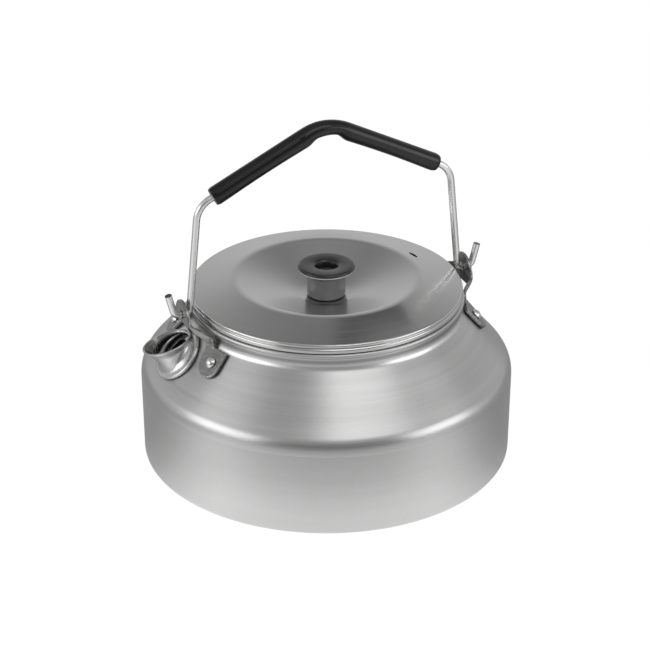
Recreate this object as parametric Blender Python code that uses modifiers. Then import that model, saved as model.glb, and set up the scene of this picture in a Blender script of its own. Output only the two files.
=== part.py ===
"""Camping kettle: spun body, pressed spout and ears, wire bail with grip, lift-off lid with knob.

Metres, +Z up, origin at the middle of the base, spout toward -X, bail hinge along X.
"""
import math

import bmesh
import bpy
from mathutils import Matrix, Vector

# Fits
JOIN_GAP = 0.0003
PIN_CLEARANCE = 0.0005
PLUG_CLEARANCE = 0.0004
LEG_EAR_CLEARANCE = 0.0007
WELL_CLEARANCE = 0.0008
BRIM_GAP = 0.0001

# Body
BODY_RADIUS = 0.075
BODY_SHEET = 0.001
RIM_TOP_Z = 0.0679
SHOULDER_WIDTH = 0.0208
SHOULDER_SLOPE = math.radians(48.0)
SHOULDER_BEND_RADIUS = 0.0097
NECK_HEIGHT = 0.0059
NECK_ROOT_RADIUS = 0.0022
WALL_TAPER = 0.0003
BASE_CORNER_RADIUS = 0.0032
SPIN_STEPS = 44

# Spout
SPOUT_NECK_SPACE = 0.0079
SPOUT_SHEET = 0.0007
SPOUT_FLANGE_LENGTH = 0.0234
SPOUT_FLANGE_WIDTH = 0.0248
SPOUT_FLANGE_LEDGE = 0.0011
SPOUT_FLANGE_OFFSET = 0.0008
SPOUT_FLANGE_BEVEL = 0.00028
SPOUT_WAIST_RADIUS = 0.0071
SPOUT_COLLAR_RADIUS = 0.0086
SPOUT_TURNED_LIP = 0.0013
SPOUT_LOW_SWELL = 1.1
SPOUT_HIGH_LENGTH_SWELL = 1.05
SPOUT_HIGH_WIDTH_SWELL = 0.92
SPOUT_EARLY_CLIMB = 0.55
SPOUT_PARTS = (0.16, 0.36, 0.56, 0.74, 0.89)
SPOUT_SEGMENTS = 32
MOUTH_LENGTH = 0.0172
MOUTH_WIDTH = 0.0157
MOUTH_SHIFT = 0.0004
MOUTH_RISE = 0.0077
MOUTH_TILT = math.radians(33.0)

# Ears and their rivets
HINGE_RISE = 0.0016
EAR_SHEET = 0.0012
EAR_STANDOFF = 0.0062
EAR_NECK_SPACE = 0.0009
EAR_TAB_RADIUS = 0.0082
EAR_TAB_RISE = 0.0057
EAR_TAB_ANGLE = math.radians(75.0)
EAR_TAB_FILLET = 0.0018
EAR_FLAT_HALF_WIDTH = 0.0075
EAR_BOW_LENGTH = 0.0068
EAR_HALF_LENGTH = 0.0169
EAR_STRAP_DROP = 0.0003
EAR_TOP_FALL_LENGTH = 0.0038
EAR_BAND_RISE = 0.0031
EAR_END_ROUNDING = 0.0026
EAR_FLARE_DROP = 0.001
EAR_FLARE_HEIGHT = 0.007
EAR_ARCH_DROP = 0.0035
EAR_ARCH_HALF_WIDTH = 0.0094
EAR_ARCH_SIDE_LENGTH = 0.0042
FOOT_WIDTH = 0.0098
FOOT_DROP = 0.0122
FOOT_LEAN = 0.0022
FOOT_LAP = 0.00084
RIVET_EAR_SPACE = 0.0037
RIVET_NECK_SPACE = 0.005
RIVET_HEAD_RADIUS = 0.0023
RIVET_HEAD_HEIGHT = 0.0015
RIVET_SHANK_RADIUS = 0.0016
RIVET_TAIL_RADIUS = 0.0023
RIVET_TAIL_HEIGHT = 0.0009
RIVET_TAIL_ROUNDING = 0.0005

# Bail
WIRE_RADIUS = 0.00143
BAIL_HEIGHT = 0.0684
LEG_LEAN = 0.1
HOOK_OFFSET = 0.0062
HOOK_LENGTH = 0.0093
HOOK_LEAN = 0.26
HOOK_BEND_RADIUS = 0.0025
PEAK_BEND_RADIUS = 0.019
PEAK_SLOPE = math.radians(26.3)
CORNER_BEND_RADIUS = 0.010

# Grip
GRIP_END_INSET = 0.01065
GRIP_END_CHAMFER = 0.0003
GRIP_SPOUT_HALF_RADIUS = 0.0038
GRIP_FAR_HALF_RADIUS = 0.0036
GRIP_PEAK_CUT = 0.0015
GRIP_PEAK_HALF_LENGTH = 0.004
GRIP_STEP_LENGTH = 0.006
GRIP_UNDERSIDE_WAIST = 0.0004
GRIP_WAIST_START = 0.008
GRIP_WAIST_END_SPACE = 0.003
GRIP_SLIT_WIDTH = 0.0005
GRIP_SLIT_DEPTH = 0.0006
GRIP_SLIT_START = 0.009
GRIP_SLIT_ANGLE = math.radians(54.0)

# Lid
LID_OVERHANG = 0.0003
LID_SHEET = 0.0008
LID_HEM_RADIUS = 0.0009
LID_GROOVE_DEPTH = 0.0006
LID_ANNULUS_WIDTH = 0.0177
LID_CREST_RISE = 0.0031
LID_CREST_BEND = 0.007
LID_DISH_DEPTH = 0.0074
LID_DISH_MARGIN = 0.0018
LID_DISH_BEND = 0.016
PLUG_DEPTH = 0.0072
PLUG_BEVEL = 0.0003
PLUG_CORNER = 0.0015
VENT_RADIUS = 0.0013
VENT_CREST_SPACE = 0.0047
VENT_AZIMUTH = math.radians(9.4)

# Knob, screw, washer and nut
SCREW_RADIUS = 0.002
SCREW_HEAD_RADIUS = 0.0036
SCREW_HEAD_HEIGHT = 0.0022
SCREW_HEAD_ROUNDING = 0.0013
SCREW_SLOT_WIDTH = 0.001
SCREW_SLOT_DEPTH = 0.0009
SCREW_TIP_LENGTH = 0.0008
SCREW_TIP_BEVEL = 0.0004
KNOB_WALL = 0.0033
KNOB_FLANGE_REACH = 0.0037
KNOB_FLANGE_THICKNESS = 0.0021
KNOB_HEIGHT = 0.0127
KNOB_WAIST_RADIUS = 0.0014
KNOB_FOOT_BEVEL = 0.0006
KNOB_WELL_DEPTH = 0.0058
KNOB_WELL_CHAMFER = 0.001
WASHER_RADIUS = 0.0062
WASHER_THICKNESS = 0.0009
NUT_RADIUS = 0.0039
NUT_HEIGHT = 0.003

# Mesh steps
TURN = 2.0 * math.pi
QUARTER = 0.5 * math.pi
WELD_DISTANCE = 0.000005
SPIN_WELD_DISTANCE = 0.00001
EAR_COLUMNS = 26
EAR_LEVELS = 5
FOOT_STEPS = 12
GRIP_STEP = 0.009
GRIP_END_STEP = 0.001
GRIP_SIDES = 16
SPOUT_HOLE_SIDES = 40
RIVET_STEPS = 12
RIVET_HOLE_SIDES = 16
PIN_HOLE_SIDES = 20
VENT_SIDES = 16
KNOB_STEPS = 32
SCREW_STEPS = 20
WASHER_SIDES = 28
NUT_SIDES = 6
SHARP_ANGLE = math.radians(40.0)

# Places that follow from the sizes
SLOPE_RUN = math.cos(SHOULDER_SLOPE)
SLOPE_RISE = math.sin(SHOULDER_SLOPE)
NECK_RADIUS = BODY_RADIUS - SHOULDER_WIDTH
NECK_ROOT_Z = RIM_TOP_Z - NECK_HEIGHT
BEND_CENTRE_RADIUS = BODY_RADIUS - SHOULDER_BEND_RADIUS
CONE_FOOT_RADIUS = BEND_CENTRE_RADIUS + SHOULDER_BEND_RADIUS * SLOPE_RISE
CONE_FOOT_Z = NECK_ROOT_Z - (CONE_FOOT_RADIUS - NECK_RADIUS) * SLOPE_RISE / SLOPE_RUN
WALL_TOP_Z = CONE_FOOT_Z - SHOULDER_BEND_RADIUS * SLOPE_RUN
SPOUT_FOOT_RADIUS = NECK_RADIUS + SPOUT_NECK_SPACE
HINGE_Z = RIM_TOP_Z + HINGE_RISE
EAR_PLANE_X = NECK_RADIUS + EAR_STANDOFF
EAR_TAB_TOP_Z = HINGE_Z + EAR_TAB_RISE
EAR_STRAP_TOP_Z = RIM_TOP_Z - EAR_STRAP_DROP
EAR_ARCH_Z = RIM_TOP_Z - EAR_ARCH_DROP
EAR_BAND_TOP_Z = NECK_ROOT_Z + EAR_BAND_RISE
EAR_FLARE_Z = NECK_ROOT_Z - EAR_FLARE_DROP
EAR_END_RADIUS = NECK_RADIUS + BODY_SHEET + EAR_NECK_SPACE
FOOT_TOP_RADIUS = EAR_END_RADIUS - FOOT_LAP
RIVET_RING_RADIUS = NECK_RADIUS + RIVET_NECK_SPACE
RIVET_AZIMUTH = math.asin((EAR_HALF_LENGTH + RIVET_EAR_SPACE) / RIVET_RING_RADIUS)
LEG_FOOT_X = EAR_PLANE_X - EAR_SHEET / 2.0 - LEG_EAR_CLEARANCE - WIRE_RADIUS
PEAK_Z = HINGE_Z + BAIL_HEIGHT
GRIP_REACH = LEG_FOOT_X - GRIP_END_INSET
GRIP_BORE_RADIUS = WIRE_RADIUS + JOIN_GAP
KNOB_WELL_RADIUS = SCREW_HEAD_RADIUS + WELL_CLEARANCE
KNOB_NECK_RADIUS = KNOB_WELL_RADIUS + KNOB_WALL
KNOB_FLANGE_RADIUS = KNOB_NECK_RADIUS + KNOB_FLANGE_REACH
LID_BOTTOM_Z = RIM_TOP_Z + JOIN_GAP
LID_BRIM_Z = LID_BOTTOM_Z + 4.0 * LID_HEM_RADIUS + BRIM_GAP
LID_CREST_Z = LID_BRIM_Z + LID_CREST_RISE
LID_FLOOR_Z = LID_CREST_Z - LID_DISH_DEPTH
LID_RADIUS = NECK_RADIUS + LID_OVERHANG
LID_CREST_RADIUS = LID_RADIUS - LID_ANNULUS_WIDTH
LID_DISH_FLAT = KNOB_NECK_RADIUS + LID_DISH_MARGIN
KNOB_BASE_Z = LID_FLOOR_Z + JOIN_GAP
KNOB_TOP_Z = KNOB_BASE_Z + KNOB_HEIGHT
KNOB_WELL_Z = KNOB_TOP_Z - KNOB_WELL_DEPTH
WASHER_TOP_Z = LID_FLOOR_Z - LID_SHEET - JOIN_GAP
NUT_TOP_Z = WASHER_TOP_Z - WASHER_THICKNESS - JOIN_GAP
SCREW_BORE_RADIUS = SCREW_RADIUS + JOIN_GAP


def clear_scene():
    for item in list(bpy.data.objects):
        bpy.data.objects.remove(item)


def collection(name):
    group = bpy.data.collections.new(name)
    bpy.context.scene.collection.children.link(group)
    return group


def finish(name, colour, metallic, roughness):
    mat = bpy.data.materials.new(name)
    mat.use_nodes = True
    shader = mat.node_tree.nodes["Principled BSDF"]
    shader.inputs["Base Color"].default_value = (*colour, 1.0)
    shader.inputs["Metallic"].default_value = metallic
    shader.inputs["Roughness"].default_value = roughness
    return mat


def bmesh_object(name, mesh, group):
    data = bpy.data.meshes.new(name)
    mesh.to_mesh(data)
    mesh.free()
    item = bpy.data.objects.new(name, data)
    group.objects.link(item)
    return item


def cylinder(name, radius, start, end, group, segments):
    axis = end - start
    mesh = bmesh.new()
    bmesh.ops.create_cone(mesh, cap_ends=True, segments=segments, radius1=radius, radius2=radius,
                          depth=axis.length)
    turn = axis.to_track_quat("Z", "Y").to_matrix().to_4x4()
    mesh.transform(Matrix.Translation((start + end) / 2.0) @ turn)
    return bmesh_object(name, mesh, group)


def block(name, low, high, group):
    size = Vector(high) - Vector(low)
    mesh = bmesh.new()
    bmesh.ops.create_cube(mesh, size=1.0)
    middle = Matrix.Translation((Vector(high) + Vector(low)) / 2.0)
    mesh.transform(middle @ Matrix.Diagonal((*size, 1.0)))
    return bmesh_object(name, mesh, group)


def bake(item):
    """Replace an object's mesh by its evaluated mesh and drop its modifiers."""
    graph = bpy.context.evaluated_depsgraph_get()
    data = bpy.data.meshes.new_from_object(item.evaluated_get(graph))
    item.modifiers.clear()
    item.data = data
    return item


def boolean(item, tool, operation):
    change = item.modifiers.new(operation.lower(), "BOOLEAN")
    change.operation = operation
    change.solver = "EXACT"
    change.object = tool
    tool.hide_render = True
    tool.display_type = "WIRE"
    return bake(item)


def turned(name, profile, group, steps=SPIN_STEPS):
    """Spin an open profile of (radius, z) points, both ends on the axis, about Z."""
    mesh = bmesh.new()
    points = [mesh.verts.new((radius, 0.0, z)) for radius, z in profile]
    for first, second in zip(points, points[1:]):
        mesh.edges.new((first, second))
    item = bmesh_object(name, mesh, group)
    spin = item.modifiers.new("spin", "SCREW")
    spin.steps = steps
    spin.render_steps = steps
    spin.use_merge_vertices = True
    spin.merge_threshold = SPIN_WELD_DISTANCE
    return bake(item)


def tidy(item, mat):
    mesh = bmesh.new()
    mesh.from_mesh(item.data)
    bmesh.ops.remove_doubles(mesh, verts=mesh.verts, dist=WELD_DISTANCE)
    bmesh.ops.recalc_face_normals(mesh, faces=mesh.faces)
    mesh.to_mesh(item.data)
    mesh.free()
    item.data.materials.clear()
    item.data.materials.append(mat)
    item.data.shade_smooth()
    item.data.set_sharp_from_angle(angle=SHARP_ANGLE)
    return item


def arc(centre, radius, start, end, count):
    """Points on an arc from the start angle to the end angle, in degrees."""
    angles = [math.radians(start + (end - start) * i / count) for i in range(count + 1)]
    return [(centre[0] + radius * math.cos(a), centre[1] + radius * math.sin(a)) for a in angles]


def rounded_path(corners, radii, count):
    """Points of a polyline in a plane with an arc of the given radius at each inner corner."""
    path = [corners[0]]
    for i, radius in enumerate(radii, start=1):
        before = (corners[i - 1] - corners[i]).normalized()
        after = (corners[i + 1] - corners[i]).normalized()
        half = before.angle(after) / 2.0
        reach = radius / math.tan(half)
        centre = corners[i] + (before + after).normalized() * radius / math.sin(half)
        first = corners[i] + before * reach - centre
        last = corners[i] + after * reach - centre
        sweep = math.pi - 2.0 * half
        for k in range(count + 1):
            part = k / count
            weight = math.sin((1.0 - part) * sweep), math.sin(part * sweep)
            path.append(centre + (first * weight[0] + last * weight[1]) / math.sin(sweep))
    path.append(corners[-1])
    return path


def grid_mesh(rows, closed_rows=False, closed_columns=True):
    """Quads between equal rows of points; the columns and rows may close on themselves."""
    mesh = bmesh.new()
    verts = [[mesh.verts.new(point) for point in row] for row in rows]
    row_count = len(verts) if closed_rows else len(verts) - 1
    width = len(verts[0])
    column_count = width if closed_columns else width - 1
    for i in range(row_count):
        upper = verts[i]
        lower = verts[(i + 1) % len(verts)]
        for j in range(column_count):
            k = (j + 1) % width
            mesh.faces.new((upper[j], upper[k], lower[k], lower[j]))
    return mesh


def cone_z(radius):
    """Height of the shoulder cone at a radius."""
    return NECK_ROOT_Z - (radius - NECK_RADIUS) * SLOPE_RISE / SLOPE_RUN


def shoulder_normal(azimuth, side):
    return Vector((side * SLOPE_RISE * math.cos(azimuth), SLOPE_RISE * math.sin(azimuth), SLOPE_RUN))


def shoulder_point(radius, azimuth, side):
    flat = Vector((side * radius * math.cos(azimuth), radius * math.sin(azimuth), 0.0))
    return flat + Vector((0.0, 0.0, cone_z(radius)))


def body_profile(inset):
    """Outer skin for inset 0, inner skin for an inset of the sheet thickness."""
    root_half = (math.pi / 2.0 - SHOULDER_SLOPE) / 2.0
    root_reach = NECK_ROOT_RADIUS * math.tan(root_half)
    root_centre = (NECK_RADIUS + NECK_ROOT_RADIUS, NECK_ROOT_Z + root_reach)
    shoulder_angle = 90.0 - math.degrees(SHOULDER_SLOPE)
    corner_centre = (BODY_RADIUS - WALL_TAPER - BASE_CORNER_RADIUS, BASE_CORNER_RADIUS)
    skin = arc(root_centre, NECK_ROOT_RADIUS + inset, 180.0, 180.0 + shoulder_angle, 3)
    skin += arc((BEND_CENTRE_RADIUS, WALL_TOP_Z), SHOULDER_BEND_RADIUS - inset, shoulder_angle, 0.0, 5)
    skin += arc(corner_centre, BASE_CORNER_RADIUS - inset, 0.0, -90.0, 4)
    return skin


def build_body(group, cutters, mat):
    bead = arc((NECK_RADIUS, RIM_TOP_Z - BODY_SHEET), BODY_SHEET, 180.0, -90.0, 7)
    inner = body_profile(BODY_SHEET)
    profile = [(0.0, BODY_SHEET)] + inner[::-1] + bead + body_profile(0.0) + [(0.0, 0.0)]
    body = turned("kettle_body", profile, group)
    depth = 4.0 * BODY_SHEET
    foot = shoulder_point(SPOUT_FOOT_RADIUS, 0.0, -1.0)
    out = shoulder_normal(0.0, -1.0)
    hole = cylinder("spout_hole", SPOUT_COLLAR_RADIUS + JOIN_GAP, foot - out * depth, foot + out * depth,
                    cutters, SPOUT_HOLE_SIDES)
    boolean(body, hole, "DIFFERENCE")
    for name, side, azimuth in rivet_places():
        spot = shoulder_point(RIVET_RING_RADIUS, azimuth, side)
        out = shoulder_normal(azimuth, side)
        hole = cylinder(name + "_hole", RIVET_SHANK_RADIUS + JOIN_GAP, spot - out * depth,
                        spot + out * depth, cutters, RIVET_HOLE_SIDES)
        boolean(body, hole, "DIFFERENCE")
    return tidy(body, mat)


def rivet_places():
    places = []
    for ear, side in (("spout_side", -1.0), ("far_side", 1.0)):
        places.append((ear + "_front_rivet", side, -RIVET_AZIMUTH))
        places.append((ear + "_back_rivet", side, RIVET_AZIMUTH))
    return places


def spout_frame():
    """Foot point, outward axis, up-slope direction and sideways direction of the spout."""
    foot = shoulder_point(SPOUT_FOOT_RADIUS, 0.0, -1.0)
    return foot, shoulder_normal(0.0, -1.0), Vector((SLOPE_RUN, 0.0, SLOPE_RISE)), Vector((0.0, 1.0, 0.0))


def shoulder_lift(up, across, offset):
    """Height along the spout axis at which the shoulder, moved out by the offset, is met."""
    foot, out, uphill, sideways = spout_frame()
    spot = foot + uphill * up + sideways * across
    lift = 0.0
    for _ in range(8):
        here = spot + out * lift
        radius = math.hypot(here.x, here.y)
        lift -= (here.z - cone_z(radius)) * SLOPE_RUN - offset
    return lift


def spout_ring(length, width, shift, height):
    """One ring of the spout loft; height gives the lift along the axis at each point."""
    foot, out, uphill, sideways = spout_frame()
    ring = []
    for k in range(SPOUT_SEGMENTS):
        angle = TURN * k / SPOUT_SEGMENTS
        up = shift + length / 2.0 * math.cos(angle)
        across = width / 2.0 * math.sin(angle)
        ring.append(foot + uphill * up + sideways * across + out * height(up, across))
    return ring


def build_spout(group, mat):
    fold = 2.0 * SPOUT_SHEET

    def mouth_height(up, across):
        return MOUTH_RISE - up * math.tan(MOUTH_TILT)

    def seat(offset):
        return lambda up, across: shoulder_lift(up, across, offset)

    def wall(inset, base, part):
        """A ring part of the way from the flange to the mouth, on the skin at the inset."""
        weights = [(1 - part) ** 3, 3 * part * (1 - part) ** 2, 3 * part ** 2 * (1 - part), part ** 3]
        waist = 2.0 * SPOUT_WAIST_RADIUS
        ledge = 2.0 * SPOUT_FLANGE_LEDGE
        lengths = [SPOUT_FLANGE_LENGTH - ledge, waist * SPOUT_LOW_SWELL, waist * SPOUT_HIGH_LENGTH_SWELL,
                   MOUTH_LENGTH]
        widths = [SPOUT_FLANGE_WIDTH - ledge, waist, waist * SPOUT_HIGH_WIDTH_SWELL, MOUTH_WIDTH]
        shifts = [-SPOUT_FLANGE_OFFSET, 0.0, 0.0, MOUTH_SHIFT]
        length, width, shift = (sum(w * v for w, v in zip(weights, values))
                                for values in (lengths, widths, shifts))
        climb = weights[2] * SPOUT_EARLY_CLIMB + weights[3]

        def height(up, across):
            low = shoulder_lift(up, across, base)
            return low + (mouth_height(up, across) - low) * climb

        return spout_ring(length - 2.0 * inset, width - 2.0 * inset, shift, height)

    flange = (SPOUT_FLANGE_LENGTH, SPOUT_FLANGE_WIDTH, -SPOUT_FLANGE_OFFSET)
    bevel = SPOUT_FLANGE_BEVEL
    collar = 2.0 * SPOUT_COLLAR_RADIUS
    bore = collar - fold
    turned_lip = collar + 2.0 * SPOUT_TURNED_LIP
    inner_seat = -(BODY_SHEET + JOIN_GAP)
    rings = [wall(0.0, JOIN_GAP + fold, 0.0)]
    rings.append(spout_ring(flange[0] - 2 * bevel, flange[1] - 2 * bevel, flange[2], seat(JOIN_GAP + fold)))
    rings.append(spout_ring(*flange, seat(JOIN_GAP + fold - bevel)))
    rings.append(spout_ring(*flange, seat(JOIN_GAP)))
    rings.append(spout_ring(collar, collar, 0.0, seat(JOIN_GAP)))
    rings.append(spout_ring(collar, collar, 0.0, seat(inner_seat)))
    rings.append(spout_ring(turned_lip, turned_lip, 0.0, seat(inner_seat)))
    rings.append(spout_ring(turned_lip, turned_lip, 0.0, seat(inner_seat - SPOUT_SHEET)))
    rings.append(spout_ring(bore, bore, 0.0, seat(inner_seat - SPOUT_SHEET)))
    rings.append(spout_ring(bore, bore, 0.0, seat(JOIN_GAP + SPOUT_SHEET)))
    rings.append(wall(SPOUT_SHEET, JOIN_GAP + SPOUT_SHEET, 0.0))
    rings += [wall(SPOUT_SHEET, JOIN_GAP + SPOUT_SHEET, part) for part in SPOUT_PARTS]
    rings.append(wall(SPOUT_SHEET, JOIN_GAP + SPOUT_SHEET, 1.0))

    def lip_top(up, across):
        return mouth_height(up, across) + SPOUT_SHEET / 2.0

    rings.append(spout_ring(MOUTH_LENGTH - SPOUT_SHEET, MOUTH_WIDTH - SPOUT_SHEET, MOUTH_SHIFT, lip_top))
    rings.append(wall(0.0, JOIN_GAP + fold, 1.0))
    rings += [wall(0.0, JOIN_GAP + fold, part) for part in SPOUT_PARTS[::-1]]
    item = bmesh_object("spout", grid_mesh(rings, closed_rows=True), group)
    return tidy(item, mat)


def spread_points(path, step):
    """Points along a path no further apart than the step, keeping its corners."""
    points = [path[0]]
    for first, second in zip(path, path[1:]):
        count = max(1, math.ceil((second - first).length / step))
        points += [first.lerp(second, k / count) for k in range(1, count + 1)]
    return points


def ease(value):
    value = min(1.0, max(0.0, value))
    return value * value * (3.0 - 2.0 * value)


def ear_reach(y, z):
    """Distance of the ear's sheet from the kettle's middle plane: a band round the neck that flares out."""
    band = math.sqrt(EAR_END_RADIUS ** 2 - y ** 2)
    bow = 1.0 - ease((abs(y) - EAR_FLAT_HALF_WIDTH) / EAR_BOW_LENGTH)
    share = min(1.0, max(0.0, (z - EAR_FLARE_Z) / EAR_FLARE_HEIGHT))
    return band + (EAR_PLANE_X - band) * bow * math.sin(QUARTER * share)


def ear_heights(y):
    """Lower and upper edge heights of the ear at a distance from its middle."""
    away = abs(y)
    tab_centre_z = EAR_TAB_TOP_Z - EAR_TAB_RADIUS
    tab_edge = EAR_TAB_RADIUS * math.sin(EAR_TAB_ANGLE)
    if away <= tab_edge:
        top = tab_centre_z + math.sqrt(EAR_TAB_RADIUS ** 2 - away ** 2)
    else:
        tab_edge_z = tab_centre_z + EAR_TAB_RADIUS * math.cos(EAR_TAB_ANGLE)
        blend = min(1.0, (away - tab_edge) / EAR_TAB_FILLET)
        top = EAR_STRAP_TOP_Z + (tab_edge_z - EAR_STRAP_TOP_Z) * (1.0 - blend) ** 2
    fall = ease((away - tab_edge - EAR_TAB_FILLET) / EAR_TOP_FALL_LENGTH)
    top -= (EAR_STRAP_TOP_Z - EAR_BAND_TOP_Z) * fall
    rounding = max(0.0, 1.0 - (EAR_HALF_LENGTH - away) / EAR_END_ROUNDING)
    top -= EAR_END_ROUNDING * (1.0 - math.sqrt(1.0 - rounding ** 2))
    foot_z = cone_z(EAR_END_RADIUS) + (JOIN_GAP + EAR_SHEET / 2.0) / SLOPE_RUN
    drop = ease((away - EAR_ARCH_HALF_WIDTH) / EAR_ARCH_SIDE_LENGTH)
    return EAR_ARCH_Z - (EAR_ARCH_Z - foot_z) * drop, top


def build_ear(name, side, group, cutters, mat):
    rows = []
    for level in range(EAR_LEVELS + 1):
        row = []
        for column in range(EAR_COLUMNS + 1):
            y = EAR_HALF_LENGTH * (2.0 * column / EAR_COLUMNS - 1.0)
            bottom, top = ear_heights(y)
            z = bottom + (top - bottom) * level / EAR_LEVELS
            row.append(Vector((side * ear_reach(y, z), y, z)))
        rows.append(row)
    ear = bmesh_object(name, grid_mesh(rows, closed_columns=False), group)
    skin = ear.modifiers.new("sheet", "SOLIDIFY")
    skin.thickness = EAR_SHEET
    skin.offset = 0.0
    skin.use_even_offset = True
    bake(ear)
    for azimuth in (-RIVET_AZIMUTH, RIVET_AZIMUTH):
        foot = build_foot(azimuth, side, cutters)
        boolean(ear, foot, "UNION")
        spot = shoulder_point(RIVET_RING_RADIUS, azimuth, side)
        out = shoulder_normal(azimuth, side)
        hole = cylinder(name + "_rivet_hole", RIVET_SHANK_RADIUS + JOIN_GAP, spot - out * BODY_SHEET,
                        spot + out * 4.0 * BODY_SHEET, cutters, RIVET_HOLE_SIDES)
        boolean(ear, hole, "DIFFERENCE")
    reach = 4.0 * EAR_SHEET
    hole = cylinder(name + "_pin_hole", WIRE_RADIUS + PIN_CLEARANCE,
                    Vector((side * (EAR_PLANE_X - reach), 0.0, HINGE_Z)),
                    Vector((side * (EAR_PLANE_X + reach), 0.0, HINGE_Z)), cutters, PIN_HOLE_SIDES)
    boolean(ear, hole, "DIFFERENCE")
    return tidy(ear, mat)


def build_foot(azimuth, side, cutters):
    """Tongue that lies on the shoulder, straight at the neck and rounded down the slope."""
    length = (RIVET_RING_RADIUS - FOOT_TOP_RADIUS) / SLOPE_RUN
    round_radius = FOOT_WIDTH / 2.0
    straight = FOOT_DROP - length - round_radius
    inward = math.copysign(FOOT_LEAN, azimuth)
    outline = [(-length, round_radius), (-length, -round_radius)]
    outline += [(straight + round_radius * math.sin(a), -round_radius * math.cos(a))
                for a in (math.pi * k / FOOT_STEPS for k in range(FOOT_STEPS + 1))]
    spot = shoulder_point(RIVET_RING_RADIUS, azimuth, side)
    out = shoulder_normal(azimuth, side)
    across = Vector((-side * math.sin(azimuth), math.cos(azimuth), 0.0))
    down = across.cross(out)
    if down.z > 0.0:
        down = -down
    mesh = bmesh.new()
    low = []
    for run, offset in outline:
        lean = -inward * (0.5 - run / length / 2.0) if offset * inward < 0.0 else 0.0
        low.append(mesh.verts.new(spot + down * run + across * (offset + lean) + out * JOIN_GAP))
    face = mesh.faces.new(low)
    raised = bmesh.ops.extrude_face_region(mesh, geom=[face])
    tops = [item for item in raised["geom"] if isinstance(item, bmesh.types.BMVert)]
    bmesh.ops.translate(mesh, verts=tops, vec=out * EAR_SHEET)
    bmesh.ops.recalc_face_normals(mesh, faces=mesh.faces)
    foot = bmesh_object("ear_foot", mesh, cutters)
    foot.hide_render = True
    foot.display_type = "WIRE"
    return foot


def build_rivet(name, side, azimuth, group, mat):
    seat = JOIN_GAP + EAR_SHEET + JOIN_GAP
    sphere = (RIVET_HEAD_RADIUS ** 2 + RIVET_HEAD_HEIGHT ** 2) / (2.0 * RIVET_HEAD_HEIGHT)
    rim = math.degrees(math.asin(RIVET_HEAD_RADIUS / sphere))
    dome = arc((0.0, seat + RIVET_HEAD_HEIGHT - sphere), sphere, 90.0, 90.0 - rim, 4)
    dome[0] = (0.0, dome[0][1])
    under = -(BODY_SHEET + JOIN_GAP)
    profile = dome + [(RIVET_SHANK_RADIUS, seat), (RIVET_SHANK_RADIUS, under), (RIVET_TAIL_RADIUS, under)]
    tail = under - RIVET_TAIL_HEIGHT
    profile += [(RIVET_TAIL_RADIUS, tail + RIVET_TAIL_ROUNDING),
                (RIVET_TAIL_RADIUS - RIVET_TAIL_ROUNDING, tail), (0.0, tail)]
    rivet = turned(name, profile, group, RIVET_STEPS)
    spot = shoulder_point(RIVET_RING_RADIUS, azimuth, side)
    turn = shoulder_normal(azimuth, side).to_track_quat("Z", "Y").to_matrix().to_4x4()
    rivet.data.transform(Matrix.Translation(spot) @ turn)
    return tidy(rivet, mat)


def bail_path():
    """Centre line of the bail wire from the spout-side hook tip to the far one."""
    peak = PEAK_Z + PEAK_BEND_RADIUS * (1.0 / math.cos(PEAK_SLOPE) - 1.0)
    fall = math.tan(PEAK_SLOPE)
    rise = (peak - HINGE_Z - fall * LEG_FOOT_X) / (1.0 - fall * LEG_LEAN)
    corner = Vector((LEG_FOOT_X - LEG_LEAN * rise, 0.0, HINGE_Z + rise))
    hook = Vector((LEG_FOOT_X + HOOK_OFFSET, 0.0, HINGE_Z))
    tip = hook + Vector((HOOK_LEAN, 0.0, 1.0)).normalized() * HOOK_LENGTH
    half = [tip, hook, Vector((LEG_FOOT_X, 0.0, HINGE_Z)), corner]
    corners = [Vector((-p.x, 0.0, p.z)) for p in half] + [Vector((0.0, 0.0, peak))] + half[::-1]
    radii = [HOOK_BEND_RADIUS, HOOK_BEND_RADIUS, CORNER_BEND_RADIUS]
    return rounded_path(corners, radii + [PEAK_BEND_RADIUS] + radii[::-1], 6)


def build_wire(group, mat):
    path = bail_path()
    curve = bpy.data.curves.new("bail_path", "CURVE")
    curve.dimensions = "3D"
    curve.bevel_depth = WIRE_RADIUS
    curve.bevel_resolution = 3
    curve.use_fill_caps = True
    spline = curve.splines.new("POLY")
    spline.points.add(len(path) - 1)
    for point, place in zip(spline.points, path):
        point.co = (*place, 1.0)
    item = bpy.data.objects.new("bail_curve", curve)
    group.objects.link(item)
    graph = bpy.context.evaluated_depsgraph_get()
    data = bpy.data.meshes.new_from_object(item.evaluated_get(graph))
    bpy.data.objects.remove(item)
    data.name = "bail_wire"
    wire = bpy.data.objects.new("bail_wire", data)
    group.objects.link(wire)
    return tidy(wire, mat)


def grip_size(x, facing):
    """Distance from the wire's centre to the grip's skin; facing is 1 on top and -1 underneath."""
    away = abs(x)
    half = ease((x + GRIP_PEAK_HALF_LENGTH) / (2.0 * GRIP_PEAK_HALF_LENGTH))
    radius = GRIP_SPOUT_HALF_RADIUS + (GRIP_FAR_HALF_RADIUS - GRIP_SPOUT_HALF_RADIUS) * half
    step = ease((away - GRIP_PEAK_HALF_LENGTH) / GRIP_STEP_LENGTH)
    waist_length = GRIP_REACH - GRIP_WAIST_END_SPACE - GRIP_WAIST_START
    share = min(1.0, max(0.0, (away - GRIP_WAIST_START) / waist_length))
    cut = GRIP_PEAK_CUT * (1.0 - step) + GRIP_UNDERSIDE_WAIST * math.sin(math.pi * share)
    return radius - cut * ((1.0 - facing) / 2.0) ** 2


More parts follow.
